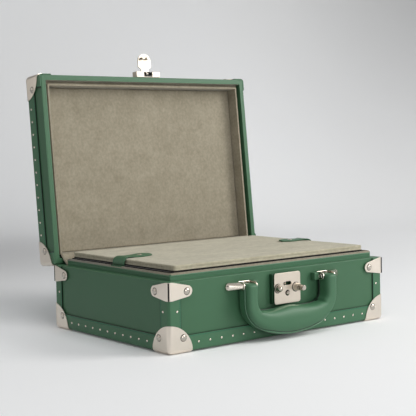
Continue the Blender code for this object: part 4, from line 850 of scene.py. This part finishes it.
def shade_gaps():
    """Painted shade of dark felt round the tray's top and under the cover's edge, suede on the left and front
    walls of the lid's groove and on its bottom, and leather facings on the roots of the straps."""
    top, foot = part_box("watch_tray")[1][2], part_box("cover_panel")[0][2]
    # Dark felt bars that stand in for the shadow in these gaps: painted shade
    frame_bars("tray_gap_painted_shade", "watch_tray", top - 4 * MM, top + 0.22 * MM, 3.6 * MM, "base")
    frame_bars("cover_underside_painted_shade", "cover_panel", foot + 0.02 * MM, foot + 1.6 * MM, 0.4 * MM, "cover")
    shell_low, shell_high = closed_lid_box("lid_shell")
    (x0, y0), (x1, y1), rim = shell_low[:2] + LID_WALL, shell_high[:2] - LID_WALL, shell_low[2]
    boxes = []
    for width, first, last in mm((0.4, 1.4, 16.0), (4.55, 10.9, 13.9)):
        start = (x0, y0, rim + first)
        boxes += [[start, (x0 + width, y1 - 2 * MM, rim + last)], [start, (x1, y0 + width, rim + last)]]
    bars("lid_wall_suede", boxes, SUEDE, "lid")
    roots = [mm((side * 188.3, -18, 6), (side * 186.6, 8, 10)) + (0, MIDDLE_Y, BASE_TOP) for side in (-1, 1)]
    bars("strap_root_facings", roots, LEATHER, "base")


# Cover panel, lining and cushions

def evaluated_mesh(item):
    graph = bpy.context.evaluated_depsgraph_get()
    return bpy.data.meshes.new_from_object(item.evaluated_get(graph), depsgraph=graph)


def reshape(item, kind, **settings):
    """Applies one modifier to a piece's mesh."""
    set_values(item.modifiers.new("step", kind), **settings)
    mesh = evaluated_mesh(item)
    mesh.name = item.name
    item.modifiers.clear()
    old, item.data = item.data, mesh
    bpy.data.meshes.remove(old)


def inflate(item, cap, frames=20):
    """Blows a pad up as stuffed cloth, without gravity. No point moves further than the cap."""
    before = read_points(item.data)
    cloth = item.modifiers.new("cloth", "CLOTH")
    set_values(cloth.settings, use_pressure=True, uniform_pressure_force=4.0, quality=5, tension_stiffness=30,
               compression_stiffness=30, bending_stiffness=2)
    cloth.settings.effector_weights.gravity = 0
    cloth.collision_settings.use_self_collision = False
    set_values(cloth.point_cache, frame_start=1, frame_end=frames)
    for number in range(1, frames + 1):
        SCENE.frame_set(number)
    mesh = evaluated_mesh(item)
    move = read_points(mesh) - before
    bpy.data.meshes.remove(mesh)
    item.modifiers.clear()
    SCENE.frame_set(1)
    size = np.linalg.norm(move, axis=1, keepdims=True)
    write_points(item.data, before + move * np.minimum(1, cap / np.maximum(size, 1e-9)))


def smooth_noise(points, size, seed):
    """Soft unevenness from -1 to 1: the mean of six sine waves of random direction and phase."""
    draw = np.random.default_rng(seed)
    waves = unit(draw.normal(size=(6, 3))) * 2 * math.pi / size
    waves *= draw.uniform(0.6, 1.5, (6, 1))
    return np.sin(points @ waves.T + draw.uniform(0, 2 * math.pi, 6)).mean(1)


def wrapped_board(low, high, roll, edge_profile, crown, columns=130, rows=96):
    """A board wrapped in cloth, as points (x, y, depth below its face) and faces. The face is a grid
    whose depth is -crown * (1 - |u| ** 4)(1 - |v| ** 4), and from its border loops run over the edge:
    loop k lies edge_profile[k] = (outset, depth) beyond the face's border, mitred at the corners."""
    middle, half = (low + high) / 2, (high - low) / 2 - roll
    a, b = np.meshgrid(np.linspace(-1, 1, columns), np.linspace(-1, 1, rows), indexing="ij")
    depth = -crown * (1 - np.abs(a) ** 4) * (1 - np.abs(b) ** 4)
    points = [merge(middle[0] + a * half[0], middle[1] + b * half[1], depth).reshape(-1, 3)]
    index = np.arange(columns * rows).reshape(columns, rows)
    previous = np.concatenate([index[:-1, 0], index[-1, :-1], index[:0:-1, -1], index[0, :0:-1]])
    border, count = points[0][previous], len(previous)
    sign = np.round(np.stack([a.ravel(), b.ravel()], -1)[previous] * 0.5001)
    faces = lattice(columns, rows).tolist()
    for number, (outset, drop) in enumerate(edge_profile):
        points.append(np.column_stack([border[:, :2] + sign * outset, np.full(count, drop)]))
        current = columns * rows + number * count + np.arange(count)
        faces += np.stack([previous, np.roll(previous, -1), np.roll(current, -1), current], -1).tolist()
        previous = current
    return np.concatenate(points), faces + [previous.tolist()]


def make_cover_panel():
    """The tray's cover: a board wrapped in suede, slightly crowned. Its wavy edge is a quarter round,
    a straight side with one shallow sewn groove, and a small round below."""
    low, high = np.array(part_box("cover_panel"))
    height, roll, half_seam = 8.6 * MM, 1.3 * MM, 0.5 * MM
    seam = roll + (height - roll) * 0.42
    turn = np.linspace(0, math.pi / 2, 7)[1:]
    edge = [*zip(roll * np.sin(turn), roll * (1 - np.cos(turn))), (roll, seam - half_seam),
            (roll - 0.35 * MM, seam), (roll, seam + half_seam), (roll, height - 0.8 * MM),
            (roll - 0.25 * MM, height - 0.25 * MM), (roll - 0.9 * MM, height)]
    points, faces = wrapped_board(low[:2], high[:2], roll, edge, 0.4 * MM)
    wave = smooth_noise(points * [1, 1, 0], 45 * MM, 4)
    points[:, 2] = low[2] + height - points[:, 2] + 0.2 * MM * wave * (points[:, 2] < 2 * MM)
    points[:, 0] += 0.25 * MM * smooth_noise(points, 38 * MM, 14) * (np.abs(points[:, 0]) > high[0] - 3 * MM)
    points[:, 1] += 0.25 * MM * smooth_noise(points, 38 * MM, 15) * (points[:, 1] < low[1] + 3 * MM)
    points[:, 2] = np.maximum(points[:, 2], low[2])
    panel = make_piece("cover_pad", points, faces, PANEL_SUEDE, "cover", "panel_suede", ["cover_panel"])


def make_lining():
    """The lid's suede panel: a thin wrapped board, built closed and turned open with the lid."""
    low, high = closed_lid_box("lid_lining")
    roll = 2.0 * MM
    edge = [(roll * math.sin(t), roll * (1 - math.cos(t))) for t in np.linspace(0, math.pi / 2, 6)[1:]]
    points, faces = wrapped_board(low[:2], high[:2], roll, edge + [(roll, 5.0 * MM)], 1.2 * MM)
    wave = smooth_noise(points * [1, 1, 0], 60 * MM, 9)
    points[:, 2] += low[2] + 1.2 * MM + 0.15 * MM * wave * (points[:, 2] < MM)
    pad = make_piece("lining_pad", open_lid(points), faces, SUEDE, "lid", "suede", ["lid_lining"])


def make_cushions():
    """Eight watch cushions. One is blown up as stuffed cloth and its points serve them all."""
    low, high = np.array(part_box("watch_cushion_1"))
    size, margin = high - low, 3 * MM
    half = size[:2] / 2
    core = [(*(margin - half), margin / 2), (*(half - margin), size[2] - 2 * margin)]
    first = make_piece("watch_pad_1", *box_mesh([core]), PANEL_SUEDE, None)
    reshape(first, "REMESH", mode="VOXEL", voxel_size=5 * MM)
    inflate(first, 6 * MM)
    reshape(first, "SUBSURF", levels=1, render_levels=1)
    shape = np.clip(read_points(first.data), (*-half, 0), (*half, size[2]))
    for number in range(1, 9):
        node = "watch_cushion_%d" % number
        low, high = np.array(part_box(node))
        item = first if number == 1 else new_object("watch_pad_%d" % number, first.data.copy())
        write_points(item.data, shape + (*(low + high)[:2] / 2, low[2]))
        item.data.shade_smooth()
        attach(item, "base")
        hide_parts(node)


# Straps and the flap over the hinge

def strap_line(rise):
    """A strap's middle line as (inward, up): straight up, round a quarter circle, then along, with a
    slight fall towards the tip."""
    turn = np.linspace(0, math.pi / 2, 12)
    along = np.linspace(STRAP_BEND, STRAP_REACH, 40)[1:]
    x = np.concatenate([np.zeros(5), STRAP_BEND * (1 - np.cos(turn)), along])
    z = np.concatenate([np.linspace(0, rise - STRAP_BEND, 6)[:-1],
                        rise - STRAP_BEND + STRAP_BEND * np.sin(turn), np.full(39, rise)])
    fall = np.interp(x, [STRAP_BEND, 30 * MM, STRAP_REACH], [0, 0.8 * MM, 0.3 * MM])
    return np.stack([x, z - fall], -1)


def strap_width(inward):
    """Half of the strap's width: 29 mm at the foot, 17 mm at the neck, a 21 mm spade and a blunt tip."""
    places = mm(0, 2, 6, 10, 15, 22, 28, 33, 37, 43, 49, 53, 55)
    widths = mm(29, 29, 26.5, 22.5, 18.6, 17, 17.4, 19.6, 21, 19.6, 15.6, 12.2, 8.5)
    return np.interp(inward, places, widths) / 2


def make_straps():
    """Leather tabs. Each point of the line carries a flat section with rounded long edges, whose half
    width follows strap_width, and whose rear edge rises past the neck."""
    angle = circle(32)
    flat = soft(np.cos(angle), 0.12)
    for word, side in SIDES.items():
        low, high = np.array(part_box("strap_" + word))
        foot = low[0] + STRAP_THICK / 2 if side < 0 else high[0] - STRAP_THICK / 2
        line = strap_line(high[2] - low[2] - STRAP_THICK / 2 + STRAP_RISE)
        inward, height = beside(line, normals(line), soft(np.sin(angle), 0.8) * STRAP_THICK / 2)
        half = strap_width(line[:, 0])[:, None]
        lean = STRAP_LEAN * smooth((line[:, :1] - 14 * MM) / (20 * MM)) * half * (flat + 0.6)
        points = merge(foot - side * inward, MIDDLE_Y + half * flat, low[2] + height + lean)
        make_tube("strap_tab_%s_leather" % word, points, LEATHER, "strap_tab_" + word, "leather",
                  ["strap_" + word])


def make_flap():
    """The suede flap from the base's rear lining to the lid's: the CAD flap's line, thickened a little, with
    a soft sag."""
    low, high = np.array(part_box("hinge_flap"))
    inset = mm(0.8, 0.4)
    start, end = low[1:] + inset, high[1:] - inset
    share = np.linspace(0, 1, 24)[:, None]
    line = start + (end - start) * share
    line[:, 1:] -= 1.6 * MM * np.sin(math.pi * share)
    thick = 0.5 * MM * normals(line)
    section = np.concatenate([line + thick, (line - thick)[::-1]])
    across = np.linspace(low[0], high[0], 60)[:, None]
    flap = make_tube("hinge_flap_suede", merge(across, section[:, 0], section[:, 1]), SUEDE, None, "suede",
                     ["hinge_flap"])
    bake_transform(flap)


# Backdrop

# Pools of painted light (above zero) and painted shade (below zero) in the paper's tone: how much, then
# middle and width across, middle and width along it
PAINTED_POOLS = ((0.20, 0.08, 0.45, 2.1, 0.8), (-0.93, 1.2, math.sqrt(1.12), 3.4, math.sqrt(1.12)),
         (-0.42, -0.6, 0.6, 1.05, 0.75), (0.20, -0.36, 0.16, 0.0, 0.22))


def set_stage():
    """A pale sweep: floor, a wide curve and a wall. The paper's tone is a formula in metres across and along
    it from the case: painted light rises towards the wall, the pools above paint light and shade, and painted
    shade falls off on the left."""
    start, radius, end = 1.6, 0.9, 5.4
    arc = np.concatenate([np.linspace(-4.6, start, 124)[:-1], np.linspace(start, end, 96)])
    turn = np.clip((arc - start) / radius, 0, math.pi / 2)
    y = np.minimum(arc, start) + radius * np.sin(turn)
    z = radius * (1 - np.cos(turn)) + np.maximum(arc - start - radius * math.pi / 2, 0)
    across = 5 * np.sinh(np.linspace(-3.3, 3.3, 131))[:, None] / math.sinh(3.3)
    # Painted light: the tone rises towards the wall
    tone = 1.19 + 0.18 * smooth((arc - 0.6) / 1.6)
    for amount, x_middle, x_width, s_middle, s_width in PAINTED_POOLS:
        tone = tone + amount * bell((across - x_middle) / x_width) * bell((arc - s_middle) / s_width)
    # Painted shade falling off towards the left
    tone = 0.785 * tone * (1 - 0.45 * smooth((-across - 0.95) / 1.4))
    heading = math.radians(-38.27)
    cosine, sine = math.cos(heading), math.sin(heading)
    points = merge(across * cosine - y * sine, across * sine + y * cosine, z).reshape(-1, 3)
    mesh = bpy.data.meshes.new("studio_sweep")
    mesh.from_pydata(points.tolist(), [], lattice(*tone.shape).tolist())
    mesh.shade_smooth()
    for label, values in (("paper", np.minimum(tone, 0.85)), ("painted_glow", 0.62 * np.maximum(tone - 0.85, 0))):
        mesh.attributes.new(label, "FLOAT", "POINT").data.foreach_set("value", values.ravel())
    mesh.materials.append(sweep_paper())
    new_object("studio_sweep", mesh)


def sweep_paper():
    """White paper with a faint cloudiness. The part of its painted tone that paper can't have is a painted
    glow of light, which only the camera and shiny surfaces see."""
    finish, tree, shader = new_material("studio_paper")
    cloudy = noise(tree, add_node(tree, "TexCoord").outputs["Object"], 1.3, 1.0)
    tint = mix_colours(tree, cloudy, (0.975, 0.985, 1.0, 1), (0.995, 1.0, 1.0, 1))
    paper, painted_glow = (add_node(tree, "Attribute", attribute_name=label).outputs["Fac"]
                   for label in ("paper", "painted_glow"))
    toned = add_node(tree, "VectorMath", {0: tint, "Scale": paper}, operation="SCALE").outputs[0]
    shown = calculate(tree, "MULTIPLY", painted_glow, seen_directly(tree))
    set_inputs(tree, shader, {"Base Color": toned, "Emission Color": tint, "Emission Strength": shown,
                              "Roughness": 0.9, "Specular IOR Level": 0.2})
    return finish


place_camera()
light_studio()
dress_nodes()
make_nails()
make_rivets()
finish_strips("base", BASE_BOTTOM, 1, BASE_TOP - BRACKET_CLEAR, BASE_PAINT_WIDTH)
finish_strips("lid", LID_TOP, -1, BASE_TOP + 2.0 * MM, LID_PAINT_WIDTH)
draw_bracket_folds()
make_handle()
make_mounts()
make_lock_rings()
# Piping in the lighter leather: a painted highlight on the lip's edge
lay_rim("lip_piping", "base_lip", LIP_PIPING, PIPING_HIGHLIGHT, "leather")
lay_rim("lip_turned_suede", "base_lip", LIP_SUEDE, SUEDE, "suede")
lay_rim("liner_edge_suede", "base_liner", LINER_EDGE, SUEDE, "suede")
shade_gaps()
make_cover_panel()
make_lining()
make_cushions()
make_straps()
make_flap()
set_stage()
